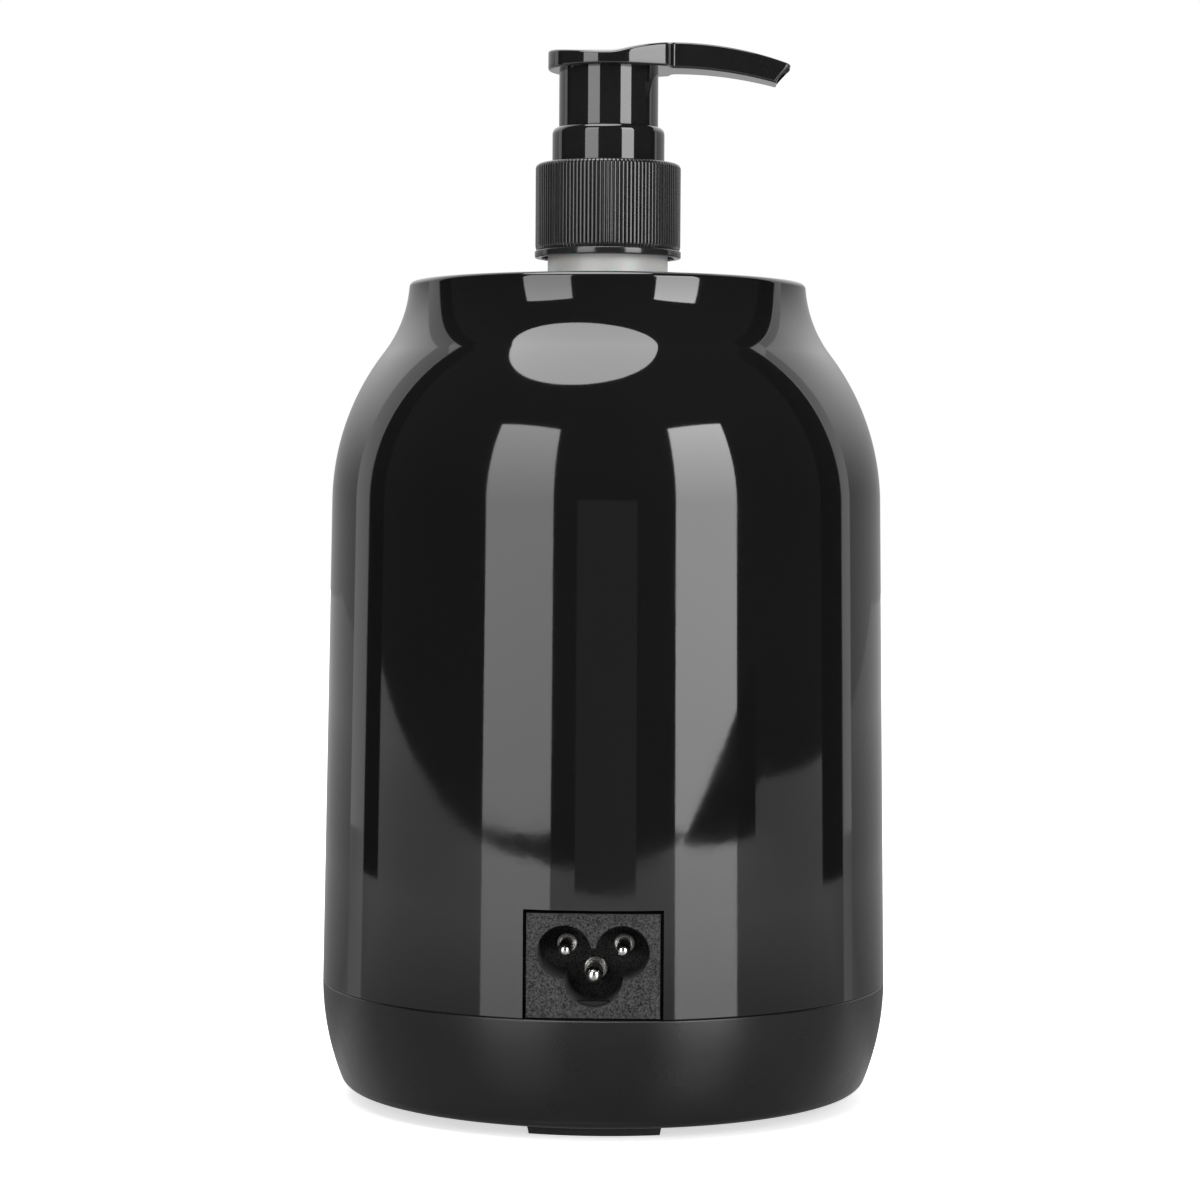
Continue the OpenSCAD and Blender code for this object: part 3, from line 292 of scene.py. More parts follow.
def principled(name, dark, light, rough, patch, bump, ior, specks=None, grain=None, cloudy=None):
    """Moulded or metal finish: two tones in soft patches, roughness in finer ones, and a fine bump.

    A tone is a grey or a colour. patch: patches per metre. bump: (features per metre, depth in metres).
    specks: (per metre, size, added roughness). grain: stretch per axis. cloudy: subsurface (weight, scale).
    """
    mat, tree = new_material(name)
    shader = tree.nodes["Principled BSDF"]
    if ior is METAL:
        shader.inputs["Metallic"].default_value = 1.0
    else:
        shader.inputs["IOR"].default_value = ior
    if cloudy:
        shader.inputs["Subsurface Weight"].default_value = cloudy[0]
        shader.inputs["Subsurface Scale"].default_value = cloudy[1]
    place = add_node(tree, "TexCoord").outputs["Object"]
    if grain:
        place = add_node(tree, "Mapping", {"Vector": place, "Scale": grain}).outputs["Vector"]

    def noise(scale, detail, roughness):
        inputs = {"Vector": place, "Scale": scale, "Detail": detail, "Roughness": roughness}
        return add_node(tree, "TexNoise", inputs).outputs["Fac"]

    ramp = add_node(tree, "ValToRGB", {"Fac": noise(patch, *TONE_NOISE)})
    for element, position, tone in zip(ramp.color_ramp.elements, NOISE_SPAN, (dark, light)):
        element.position = position
        element.color = (*(tone if isinstance(tone, tuple) else (tone,) * 3), 1)
    tree.links.new(ramp.outputs["Color"], shader.inputs["Base Color"])
    roughness = remap(tree, noise(patch * ROUGHNESS_PATCH, *ROUGHNESS_NOISE), NOISE_SPAN, rough)
    if specks:
        per_metre, size, added = specks
        dots = add_node(tree, "TexVoronoi", {"Vector": place, "Scale": per_metre}).outputs["Distance"]
        speck = remap(tree, dots, (size, size * 0.5), (0.0, added))
        roughness = add_node(tree, "Math", {0: roughness, 1: speck}, "ADD").outputs["Value"]
    tree.links.new(roughness, shader.inputs["Roughness"])
    relief = add_node(tree, "Bump", {"Strength": 1.0, "Distance": bump[1], "Height": noise(bump[0], *BUMP_NOISE)})
    tree.links.new(relief.outputs["Normal"], shader.inputs["Normal"])
    return mat


# Dark and light tone, roughness, patches per metre, bumps per metre and their depth, IOR
FINISHES = {
    "gloss_black": (0.0036, 0.0050, (0.03, 0.06), 25, (260, 2.5e-6), 1.5),
    "satin_black": (0.005, 0.0075, (0.26, 0.33), 60, (2600, 5e-6), 1.45),
    "inlet_black": (0.0, 0.09, (0.42, 0.58), 3400, (2600, 4e-5), 1.2),
    "black_rubber": (0.012, 0.018, (0.55, 0.7), 150, (1800, 1.0e-5), 1.5),
    "pump_black": (0.006, 0.009, (0.03, 0.06), 70, (500, 2e-6), 1.54),
    "cap_black": (0.013, 0.018, (0.10, 0.16), 90, (1200, 2e-6), 1.5),
    "button_black": (0.010, 0.014, (0.3, 0.4), 90, (2600, 4e-6), 1.5),
    "smoked_lens": (0.0030, 0.0045, (0.015, 0.03), 40, (160, 1e-6), 1.52),
    "icon_grey": (0.42, 0.5, (0.45, 0.55), 400, (3000, 2e-6), 1.45),
    "natural_plastic": ((0.50, 0.50, 0.49), (0.58, 0.58, 0.57), (0.34, 0.44), 50, (500, 1.2e-5), 1.5),
    "pump_white": (0.72, 0.8, (0.3, 0.4), 80, (900, 5e-6), 1.5),
    "natural_tube": ((0.7, 0.7, 0.68), (0.8, 0.8, 0.78), (0.25, 0.35), 80, (700, 5e-6), 1.5),
    "piston_white": (0.78, 0.84, (0.35, 0.45), 120, (1000, 5e-6), 1.5),
    "gasket_foam": (0.62, 0.74, (0.75, 0.9), 500, (2200, 6e-5), 1.45),
    "pin_nickel": ((0.60, 0.59, 0.56), (0.72, 0.71, 0.68), (0.10, 0.20), 300, (2400, 4e-6), METAL),
    "screw_steel": (0.42, (0.55, 0.55, 0.54), (0.28, 0.42), 300, (1800, 8e-6), METAL),
    "spring_steel": ((0.45, 0.45, 0.44), (0.6, 0.6, 0.58), (0.2, 0.32), 400, (2500, 4e-6), METAL),
    "ball_steel": (0.6, 0.72, (0.06, 0.12), 300, (1500, 1e-6), METAL),
    "cup_aluminium": (0.58, 0.70, (0.24, 0.38), 60, (900, 6e-6), METAL),
    "grey_silicone": (0.03, 0.045, (0.5, 0.62), 140, (1400, 8e-6), 1.42),
    "support_plastic": ((0.55, 0.52, 0.45), (0.62, 0.59, 0.52), (0.45, 0.55), 90, (1200, 8e-6), 1.5),
    "heater_film": ((0.42, 0.15, 0.03), (0.55, 0.22, 0.05), (0.25, 0.4), 120, (900, 1e-5), 1.6),
    "insulation_felt": ((0.52, 0.50, 0.44), (0.70, 0.68, 0.62), (0.85, 1.0), 420, (1600, 2.5e-4), 1.4),
    "dark_resin": ((0.03, 0.018, 0.012), (0.05, 0.03, 0.02), (0.3, 0.45), 160, (1400, 6e-6), 1.55),
    "sensor_resin": (0.012, 0.02, (0.2, 0.34), 160, (900, 8e-6), 1.55),
    "board_green": ((0.012, 0.10, 0.035), (0.02, 0.15, 0.05), (0.3, 0.45), 240, (2600, 1e-5), 1.55),
    "display_dark": ((0.010, 0.012, 0.016), (0.018, 0.022, 0.028), (0.15, 0.3), 200, (1500, 4e-6), 1.5),
    "switch_black": (0.02, 0.03, (0.4, 0.5), 200, (1800, 6e-6), 1.5),
    "wire_sleeve": ((0.18, 0.07, 0.03), (0.24, 0.10, 0.045), (0.35, 0.45), 180, (1500, 6e-6), 1.5),
    "lead_sleeve": ((0.55, 0.55, 0.52), (0.68, 0.68, 0.64), (0.6, 0.75), 600, (3200, 4e-5), 1.45),
    "ribbon_grey": ((0.32, 0.32, 0.33), (0.45, 0.45, 0.46), (0.4, 0.5), 60, (800, 1.5e-5), 1.5),
}
FINISH_EXTRAS = {
    "gloss_black": {"specks": (900, 0.045, 0.12)},
    "natural_plastic": {"cloudy": (0.5, 0.002)},
    "pin_nickel": {"grain": (1, 0.12, 1)},
    "cup_aluminium": {"grain": (1, 1, 6)},
    "ribbon_grey": {"grain": (9, 1, 1)},
}
looks = {name: principled(name, *row, **FINISH_EXTRAS.get(name, {})) for name, row in FINISHES.items()}


def finish(obj, look, body=None, replaced=None):
    """Gives a piece its material. A new piece also rides on a body, and may stand for a CAD node."""
    obj.data.materials.clear()
    obj.data.materials.append(looks[look])
    if body:
        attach(obj, body)
        if replaced:
            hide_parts(replaced)


def dress(name, look, angle):
    """Keeps a CAD node's solid and gives it its finish."""
    finish(cad_nodes[name], look)
    smooth(cad_nodes[name], angle)
    return cad_nodes[name]


# Housing, with the notch for the inlet at the rear and the openings for the window and buttons in front

SHELL_SIDES, RIM_GAP = 360, 0.05
INLET_W, INLET_H, INLET_Z, INLET_SUNK = 22.9, 17.9, 21.8, 0.3
INLET_Y = math.sqrt(BODY_R ** 2 - (INLET_W / 2) ** 2) - INLET_SUNK
NOTCH_SIDE, NOTCH_OVER, NOTCH_LOW = 0.6, 0.65, 15
WINDOW_Z, WINDOW_W, WINDOW_H, WINDOW_R = 72.0, 30, 16, 2
LEDGE_W, LEDGE_INSET, LEDGE_LOW, LEDGE_HIGH = 2.1, 1.3, 30, 100
BUTTON_Z, BUTTON_R, BUTTON_PITCH, BUTTON_GAP, HOLE_SIDES = 46.0, 4.5, 14, 0.2, 72
REAR, FRONT = (40, 60), (-60, -40)

outside = housing_profile(0, SEAM_Z + SEAM_EDGE, RIM_EDGE_Z, 16, 64, 40)
shell_profile = arc(BODY_R - SEAM_EDGE, SEAM_Z + SEAM_EDGE, SEAM_EDGE, -QUARTER, TAPER, 5)[:-1]
shell_profile += [p for p in outside if p[1] < RIM_MEET_Z - RIM_GAP]
shell_profile += arc(RIM_EDGE_X, RIM_EDGE_Z, RIM_EDGE, RIM_MEET, QUARTER, 8)
shell_profile += arc(LIP_R + RIM_EDGE, RIM_EDGE_Z, RIM_EDGE, QUARTER, math.pi, 8)
shell_profile.append((LIP_R, LIP_Z))
shell_profile += housing_profile(WALL, SEAM_Z, LIP_Z, 8, 32, 20)[::-1]
shell = lathe("housing_shell", shell_profile, SHELL_SIDES)

notch_x, notch_top = INLET_W / 2 + NOTCH_SIDE, INLET_Z + INLET_H + NOTCH_OVER
notch = prism_y("notch", bar(-notch_x, NOTCH_LOW, notch_x, notch_top), REAR)
window = prism_y("window", rounded_rect(WINDOW_Z, WINDOW_W, WINDOW_H, WINDOW_R), FRONT)
ledge_outline = rounded_rect(WINDOW_Z, WINDOW_W + 2 * LEDGE_W, WINDOW_H + 2 * LEDGE_W, WINDOW_R + LEDGE_W)
core = lathe("core", [
    (0, LEDGE_LOW), (housing_radius(LEDGE_LOW, LEDGE_INSET), LEDGE_LOW),
    (housing_radius(LEDGE_HIGH, LEDGE_INSET), LEDGE_HIGH), (0, LEDGE_HIGH),
], SHELL_SIDES)
ledge = cut(prism_y("ledge", ledge_outline, FRONT), core)
holes = [
    prism_y("hole", circle(x, BUTTON_Z, BUTTON_R + BUTTON_GAP, HOLE_SIDES), FRONT)
    for x in (-BUTTON_PITCH, 0, BUTTON_PITCH)
]
cut(shell, notch, ledge, window, *holes)
true_normals(shell)
finish(shell, "gloss_black", "warmer", "outer_shell")

# Base: a curved pan whose tongue stands inside the housing, with three screw wells underneath

BASE_X, BASE_Z, BASE_CURVE, BASE_EDGE, BASE_WALL = 4.0, 21.5, 48.0, 2.6, 2.4
FOOT_H, BASE_FLAT, CURVE_END, INNER_CURVE_END = 2.0, 20, -0.0075, -0.13
TONGUE_R, TONGUE_IN, TONGUE_UP, TONGUE_DOWN = 49.4, 47.6, 3, 5
SCREW_CIRCLE, SCREW_FROM, SCREW_TO = 40, math.radians(30), math.radians(270)
WELL_R, WELL_TOP, WELL_SIDES, BASE_SIDES = 3.4, 9, 40, 320

edge_z = FOOT_H + BASE_EDGE
edge_x = BASE_X + math.sqrt((BASE_CURVE - BASE_EDGE) ** 2 - (SEAM_Z - edge_z) ** 2)
edge_dir = math.atan2(edge_z - BASE_Z, edge_x - BASE_X)
base_profile = [(0, FOOT_H), (BASE_FLAT, FOOT_H)]
base_profile += arc(edge_x, edge_z, BASE_EDGE, -QUARTER, edge_dir, 14)
base_profile += arc(BASE_X, BASE_Z, BASE_CURVE, edge_dir, CURVE_END, 30)[1:]
base_profile += arc(BODY_R - SEAM_EDGE, SEAM_Z - SEAM_EDGE, SEAM_EDGE, 0, QUARTER, 5)
base_profile += [(TONGUE_R, SEAM_Z), (TONGUE_R, SEAM_Z + TONGUE_UP)]
base_profile += [(TONGUE_IN, SEAM_Z + TONGUE_UP), (TONGUE_IN, SEAM_Z - TONGUE_DOWN)]
base_profile += arc(BASE_X, BASE_Z, BASE_CURVE - BASE_WALL, INNER_CURVE_END, edge_dir, 16)[1:]
base_profile += arc(edge_x, edge_z, BASE_EDGE - BASE_WALL, edge_dir, -QUARTER, 4)[1:]
base_profile += [(BASE_FLAT, FOOT_H + BASE_WALL), (0, FOOT_H + BASE_WALL)]
base = lathe("base_pan", base_profile, BASE_SIDES)
screw_places = arc(0, 0, SCREW_CIRCLE, SCREW_FROM, SCREW_TO, 2)
cut(base, *[prism_z("well", circle(x, y, WELL_R, WELL_SIDES), (0, WELL_TOP)) for x, y in screw_places])
finish(base, "satin_black", "warmer", "base")

# Power inlet and feet, with rounded edges

for name, look, width in (("power_inlet", "inlet_black", 0.18), ("rubber_feet", "black_rubber", 0.9)):
    round_edges(dress(name, look, 30), width, 5)

# Round bead on the collar at the root of each pin

PIN_Z, PIN_PITCH, EARTH_DROP, LINE_PIN_R, EARTH_PIN_R = INLET_Z + 11.2, 10.0, 4.3, 1.2, 1.5
PINS = (
    (-PIN_PITCH / 2, PIN_Z, LINE_PIN_R), (PIN_PITCH / 2, PIN_Z, LINE_PIN_R), (0, PIN_Z - EARTH_DROP, EARTH_PIN_R),
)
PIN_COLLAR_Y, BEAD_OUT, BEAD_R, BEAD_SIDES, BEAD_AROUND = INLET_Y - 12.0, 0.28, 0.2, 12, 64
verts, faces = [], []
for x, z, r in PINS:
    faces += skin(BEAD_AROUND, BEAD_SIDES, len(verts), wrap=True)
    for ux, uz in circle(0, 0, 1, BEAD_AROUND):
        for out, back in circle(r + BEAD_OUT, 0, BEAD_R, BEAD_SIDES):
            verts.append((x + out * ux, PIN_COLLAR_Y - back, z + out * uz))
finish(mesh_object("pin_beads", verts, faces, 60), "pin_nickel", "warmer")

# Bottle

BOTTLE_R, BOTTLE_Z, BOTTLE_TOP, BOTTLE_WALL = 31.0, 44.0, 146.0, 1.2
HEEL_R, ROUND_R, ROOT_R = 4, 18, 1.4
DISH_R, DISH_SLOPE, DISH_H, HEEL_FLAT_R = 23, 0.4, 0.6, 24
NECK_R, NECK_TOP, NECK_BORE_R, NECK_EDGE = 11.1, 165.4, 9.2, 0.4

heel = (BOTTLE_R - HEEL_R, BOTTLE_Z + HEEL_R)
shoulder = (BOTTLE_R - ROUND_R, BOTTLE_TOP - ROUND_R)
dish_z, floor_z = BOTTLE_Z + DISH_H, BOTTLE_Z + DISH_H + BOTTLE_WALL
bottle_profile = [(0, dish_z), (DISH_R, dish_z), (DISH_R + DISH_SLOPE, BOTTLE_Z), (heel[0], BOTTLE_Z)]
bottle_profile += arc(*heel, HEEL_R, -QUARTER, 0, 8)[1:]
bottle_profile += arc(*shoulder, ROUND_R, 0, QUARTER, 24)
bottle_profile += arc(NECK_R + ROOT_R, BOTTLE_TOP + ROOT_R, ROOT_R, -QUARTER, -math.pi, 6)
bottle_profile += arc(NECK_R - NECK_EDGE, NECK_TOP - NECK_EDGE, NECK_EDGE, 0, QUARTER, 4)
bottle_profile += [(NECK_BORE_R, NECK_TOP), (NECK_BORE_R, BOTTLE_TOP - BOTTLE_WALL)]
bottle_profile += arc(*shoulder, ROUND_R - BOTTLE_WALL, QUARTER, 0, 20)
bottle_profile += arc(*heel, HEEL_R - BOTTLE_WALL, 0, -QUARTER, 6)
bottle_profile += [(HEEL_FLAT_R, BOTTLE_Z + BOTTLE_WALL), (DISH_R + DISH_SLOPE, floor_z), (0, floor_z)]
finish(lathe("bottle_blown", bottle_profile, 192, 40), "natural_plastic", "bottle_body", "bottle")

# Thread on the neck: a ridge that fades in and out

THREAD_TURNS, THREAD_PER_TURN, THREAD_PITCH, THREAD_Z = 1.6, 96, 3.2, 157.6
THREAD_H, THREAD_CREST, THREAD_FADE, THREAD_SUNK = 0.75, 0.03, 14, -0.15
RIDGE_Z = (-0.9, -0.45, 0.0, 0.35, 0.8)
steps = int(THREAD_TURNS * THREAD_PER_TURN)
verts = []
for i in range(steps + 1):
    a, z = 2 * math.pi * i / THREAD_PER_TURN, THREAD_Z + THREAD_PITCH * i / THREAD_PER_TURN
    fade = min(1.0, i / THREAD_FADE, (steps - i) / THREAD_FADE)
    side, crest = THREAD_H * fade, (THREAD_H + THREAD_CREST) * fade
    for dz, dr in zip(RIDGE_Z, (THREAD_SUNK, side, crest, side, THREAD_SUNK)):
        verts.append(((NECK_R + dr) * math.cos(a), (NECK_R + dr) * math.sin(a), z + dz))
thread = mesh_object("neck_thread", verts, skin(steps + 1, len(RIDGE_Z)), 50)
finish(thread, "natural_plastic", "bottle_body")

# Screw cap: rounded ribs with narrow grooves, which run out into a plain bead below and the rounded edge above

CAP_Z, CAP_TOP, CAP_R, CAP_BORE_R, CAP_EDGE, CAP_DECK = 154.7, 172.0, 13.4, 12.2, 0.9, 1.8
RIBS, RIB_DEPTH, RIB_STEPS = 108, 0.25, 6
RIB_SHAPE = (1.0, 0.985, 0.94, 0.8, 0.0, 0.8, 0.94, 0.985)
RIB_START = ((0.0, 1.36), (0.35, 1.5), (0.8, 1.8), (1.0, 2.3))         # depth's share, height above the cap's foot
RIB_END = (1.0, 1.0, 1.0, 1.0, 0.97, 0.9, 0.8, 0.66, 0.5, 0.34, 0.18, 0.06, 0.0)
RIB_Z, RIB_LEN = CAP_Z + 2.3, 12.7
CAP_BEAD_IN, CAP_BEAD_EDGE, CAP_BEAD_TOP, CAP_BEAD_TURN = 0.15, 0.25, 1.05, math.pi * 0.4
CAP_LEAD_W, CAP_LEAD_H, CAP_TOP_R, CAP_HOLE_R, CAP_HOLE_EDGE = 0.25, 0.3, 11.9, 10.5, 0.3


def plain(points):
    return [(r, 0.0, z) for r, z in points]


# Rows of (radius, share of the grooves, height)
rows = plain([(CAP_BORE_R, CAP_Z + CAP_LEAD_H), (CAP_BORE_R + CAP_LEAD_W, CAP_Z)])
rows += plain(arc(CAP_R - CAP_BEAD_IN, CAP_Z + CAP_BEAD_EDGE, CAP_BEAD_EDGE, -QUARTER, 0, 4))
rows += plain(arc(CAP_R - CAP_BEAD_IN, CAP_Z + CAP_BEAD_TOP, CAP_BEAD_EDGE, 0, CAP_BEAD_TURN, 4))
rows += [(CAP_R - RIB_DEPTH * (1 - share), share, CAP_Z + h) for share, h in RIB_START]
rows += [(CAP_R, 1.0, RIB_Z + RIB_LEN * i / RIB_STEPS) for i in range(1, RIB_STEPS + 1)]
crown = arc(CAP_R - CAP_EDGE, CAP_TOP - CAP_EDGE, CAP_EDGE, 0, QUARTER, len(RIB_END) - 1)
rows += [(r, share, z) for (r, z), share in zip(crown, RIB_END)]
rows += plain(line((CAP_TOP_R, CAP_TOP), (CAP_HOLE_R + CAP_HOLE_EDGE, CAP_TOP), 2))
rows += plain(arc(CAP_HOLE_R + CAP_HOLE_EDGE, CAP_TOP - CAP_HOLE_EDGE, CAP_HOLE_EDGE, QUARTER, math.pi, 4))
rows += plain([(CAP_HOLE_R, CAP_TOP - CAP_DECK), (CAP_BORE_R, CAP_TOP - CAP_DECK)])
around = circle(0, 0, 1, RIBS * len(RIB_SHAPE))
verts = []
for r, share, z in rows:
    for k, (ux, uy) in enumerate(around):
        ribbed = r - RIB_DEPTH * share * (1 - RIB_SHAPE[k % len(RIB_SHAPE)])
        verts.append((ribbed * ux, ribbed * uy, z))
cap = mesh_object("ribbed_cap", verts, skin(len(rows), len(around), wrap=True, flip=True), 30)
finish(cap, "cap_black", "cap", "screw_cap")

# Lock collar

COLLAR_R, COLLAR_TOP, COLLAR_Z, COLLAR_BORE_R = 10.35, 178.6, 167.6, 9.35
COLLAR_ROUND_R, COLLAR_ROUND_H, COLLAR_LIP = 0.85, 1.25, 0.12
FLANGE_R, FLANGE_H, COLLAR_FLOOR, OVER_CAP = 11.4, 2.5, 1.4, 0.1
SLEEVE_R, SLEEVE_BORE_R, SLEEVE_Z, SLEEVE_FLOOR, STEM_HOLE_R = 7.6, 6.4, 158.0, 1.2, 3.5

round_z = COLLAR_TOP - COLLAR_ROUND_H
collar_profile = [(STEM_HOLE_R, SLEEVE_Z), (SLEEVE_R, SLEEVE_Z), (SLEEVE_R, COLLAR_Z), (FLANGE_R, COLLAR_Z)]
collar_profile += [(FLANGE_R, COLLAR_Z + FLANGE_H), (COLLAR_R, COLLAR_Z + FLANGE_H)]
collar_profile += line((COLLAR_R, CAP_TOP + OVER_CAP), (COLLAR_R, round_z), 6)
collar_profile += [
    (COLLAR_R - COLLAR_ROUND_R + COLLAR_ROUND_R * u, round_z + COLLAR_ROUND_H * v)
    for u, v in arc(0, 0, 1, 0, QUARTER, 12)
]
collar_profile += arc(COLLAR_BORE_R + COLLAR_LIP, COLLAR_TOP - COLLAR_LIP, COLLAR_LIP, QUARTER, math.pi, 3)
collar_profile += [(COLLAR_BORE_R, COLLAR_Z + COLLAR_FLOOR), (SLEEVE_BORE_R, COLLAR_Z + COLLAR_FLOOR)]
collar_profile += [(SLEEVE_BORE_R, SLEEVE_Z + SLEEVE_FLOOR), (STEM_HOLE_R, SLEEVE_Z + SLEEVE_FLOOR)]
finish(lathe("lock_ring", collar_profile, 192, 40), "pump_black", "pump_body", "lock_collar")

# Pump head: a pad that rises to a crest and runs out in a curved, tapered spout, drawn here along +x

PAD_Z, PAD_TOP, PAD_R, REACH = 189.2, 192.75, 11.2, 33.4
CREST_X, CREST_Z, BACK_R, BLEND_R = 11.7, 194.1, 38.0, 12.0
OUTER_R, LOWER_R, CROWN_R = 62.2, 72.0, 46.0
ROOT_HALF, TIP_HALF, TIP_CORNER = 5.5, 3.8, 0.9
TIP_SLOPE, TIP_FROM = math.radians(30), 24.0
EDGE_TOP, EDGE_LOW, ACROSS = 0.4, 0.45, 12
blend_x = CREST_X - math.sqrt((BACK_R + BLEND_R) ** 2 - (PAD_TOP + BLEND_R - CREST_Z + BACK_R) ** 2)
blend_end = CREST_X + BACK_R / (BACK_R + BLEND_R) * (blend_x - CREST_X)


def bow(r, x):
    """How far an arc has left its tangent at a distance along it."""
    return r - math.sqrt(r ** 2 - x ** 2)


def head_top(x):
    if x <= blend_x:
        return PAD_TOP
    if x <= blend_end:
        return PAD_TOP + bow(BLEND_R, x - blend_x)
    return CREST_Z - bow(BACK_R if x <= CREST_X else OUTER_R, x - CREST_X)


def head_bottom(x):
    return PAD_Z if x <= CREST_X else PAD_Z - bow(LOWER_R, x - CREST_X)


# Plan: from the spout's straight flank over a hollow bend and a corner to a wide arc, then round the pad
WIDE_R, WIDE_FROM, WIDE_TO, RUN_OUT = 33.6, math.radians(12.9), math.radians(28), math.radians(75)
BEND_R, TURN_R, FLANK_LEN = 0.8, 0.8, REACH + 1
LEAN = math.atan((ROOT_HALF - TIP_HALF) / FLANK_LEN)


def way(angle):
    """Outward direction in plan, measured from straight across the spout."""
    return Vector((math.sin(angle), math.cos(angle)))


def plan_arc(centre, radius, a0, a1, n):
    """n + 1 flank points (x, y, nx, ny) on an arc; a hollow arc has a negative radius."""
    ways = [way(a0 + (a1 - a0) * i / n) for i in range(n + 1)]
    return [(*(centre + w * radius), *w) for w in ways]


def plan_line(start, end, angle, n):
    """n - 1 flank points between two ends."""
    return [(*start.lerp(end, i / n), *way(angle)) for i in range(1, n)]


wide_c = way(WIDE_FROM) * (PAD_R - WIDE_R)
turn_c = wide_c + way(WIDE_TO) * (WIDE_R - TURN_R)
run_from = turn_c + way(RUN_OUT) * TURN_R
to_flank = run_from.dot(way(LEAN)) + BEND_R * (math.cos(RUN_OUT - LEAN) - 1) - ROOT_HALF * math.cos(LEAN)
run_to = run_from + way(RUN_OUT + QUARTER) * (to_flank / math.sin(RUN_OUT - LEAN))
bend_c = run_to + way(RUN_OUT) * BEND_R
corner_c = Vector((REACH - TIP_CORNER, TIP_HALF - TIP_CORNER))
flank = plan_arc(corner_c, TIP_CORNER, QUARTER, LEAN, 6)[1:]
flank += plan_line(corner_c + way(LEAN) * TIP_CORNER, bend_c - way(LEAN) * BEND_R, LEAN, 40)
flank += plan_arc(bend_c, -BEND_R, LEAN, RUN_OUT, 12)
flank += plan_line(run_to, run_from, RUN_OUT, 5)
flank += plan_arc(turn_c, TURN_R, RUN_OUT, WIDE_TO, 8)
flank += plan_arc(wide_c, WIDE_R, WIDE_TO, WIDE_FROM, 20)[1:]
flank += plan_arc(Vector((0, 0)), PAD_R, WIDE_FROM, -QUARTER, 64)[1:-1]
tip = [(REACH, (TIP_HALF - TIP_CORNER) * (2 * i / ACROSS - 1), 1.0, 0.0) for i in range(ACROSS + 1)]
loop = tip + flank + [(-PAD_R, 0.0, -1.0, 0.0)] + [(x, -y, nx, -ny) for x, y, nx, ny in reversed(flank)]

# Rings from the top edge down to the bottom edge: (kind, inset, drop from the surface, share of the height)
rings = [("top", EDGE_TOP - u, EDGE_TOP - v, 1.0) for u, v in arc(0, 0, EDGE_TOP, QUARTER, 0, 8)]
rings += [("mid", 0.0, 0.0, share) for share in (0.75, 0.5, 0.25)]
rings += [("low", EDGE_LOW - u, EDGE_LOW - v, 0.0) for u, v in arc(0, 0, EDGE_LOW, 0, QUARTER, 6)]
tip_height = head_top(REACH) - head_bottom(REACH)
tip_back = tip_height * math.tan(TIP_SLOPE)


def head_point(x, y, nx, ny, kind, inset, drop, share):
    """A point of the loop on a ring, turned so that the spout points along -x."""
    px, py = x - nx * inset, y - ny * inset
    near = max(0.0, (px - TIP_FROM) / (REACH - TIP_FROM))
    px -= near * near * (1 - share) * tip_back
    top, low = head_top(px) - py * py / (2 * CROWN_R), head_bottom(px)
    if kind == "top":
        z = top - drop
    elif kind == "low":
        z = low + drop
    else:
        z = low + EDGE_LOW + (top - EDGE_TOP - low - EDGE_LOW) * share
    return (-px, -py, z)


count = len(loop)
verts = [head_point(*p, *ring) for ring in rings for p in loop]
faces = []
for j in range(len(rings) - 1):
    for k in range(count):
        n = (k + 1) % count
        faces.append([(j + 1) * count + k, (j + 1) * count + n, j * count + n, j * count + k])

# Crowned top and flat underside, in rows across from the tip to the back of the pad
for first, crowned in ((0, True), ((len(rings) - 1) * count, False)):
    grid = [[first + i for i in range(ACROSS + 1)]]
    for i in range(len(flank)):
        right, left = first + len(tip) + i, first + count - 1 - i
        xr, yr, zr = verts[right]
        row = [left]
        for k in range(1, ACROSS):
            row.append(len(verts))
            y = -yr + 2 * yr * k / ACROSS
            verts.append((xr, y, zr + (yr * yr - y * y) / (2 * CROWN_R) if crowned else zr))
        grid.append(row + [right])
    patch = [[a[k], a[k + 1], b[k + 1], b[k]] for a, b in zip(grid, grid[1:]) for k in range(ACROSS)]
    patch += [[grid[-1][k], grid[-1][k + 1], first + len(tip) + len(flank)] for k in range(ACROSS)]
    faces += patch if crowned else [face[::-1] for face in patch]
head = mesh_object("pump_spout_head", verts, faces, 34)

# The spout's bore, and the recess in its cut end
BORE_R, BORE_LEN, BORE_DROP, BORE_SIDES, BORE_STEPS = 1.4, 14, 0.2, 28, 16
TIP_LIP, RECESS_DEPTH, RECESS_SIDES, RECESS_POWER, PAST_TIP = 0.5, 1.1, 40, 0.4, 3
verts = []
for i in range(BORE_STEPS + 1):
    x = REACH + PAST_TIP - BORE_LEN * i / BORE_STEPS
    middle = (head_top(x) + head_bottom(x)) / 2 - BORE_DROP
    verts += [(-x, v, middle + u) for u, v in circle(0, 0, BORE_R, BORE_SIDES)]
bore = mesh_object("bore", verts, skin(BORE_STEPS + 1, BORE_SIDES, flip=True))
lip_share = TIP_LIP / tip_height
verts = []
for deep in (True, False):
    for u, v in circle(0, 0, 1, RECESS_SIDES):
        y = (TIP_HALF - TIP_LIP) * math.copysign(abs(u) ** RECESS_POWER, u)
        share = 0.5 + (0.5 - lip_share) * math.copysign(abs(v) ** RECESS_POWER, v)
        x = REACH - RECESS_DEPTH - (1 - share) * tip_back if deep else REACH + PAST_TIP
        verts.append((-x, y, head_bottom(x) + (head_top(x) - head_bottom(x)) * share))
cut(head, bore, mesh_object("recess", verts, skin(2, RECESS_SIDES)))
finish(head, "pump_black", "head", "pump_head")

# Skirt and hub under the pad

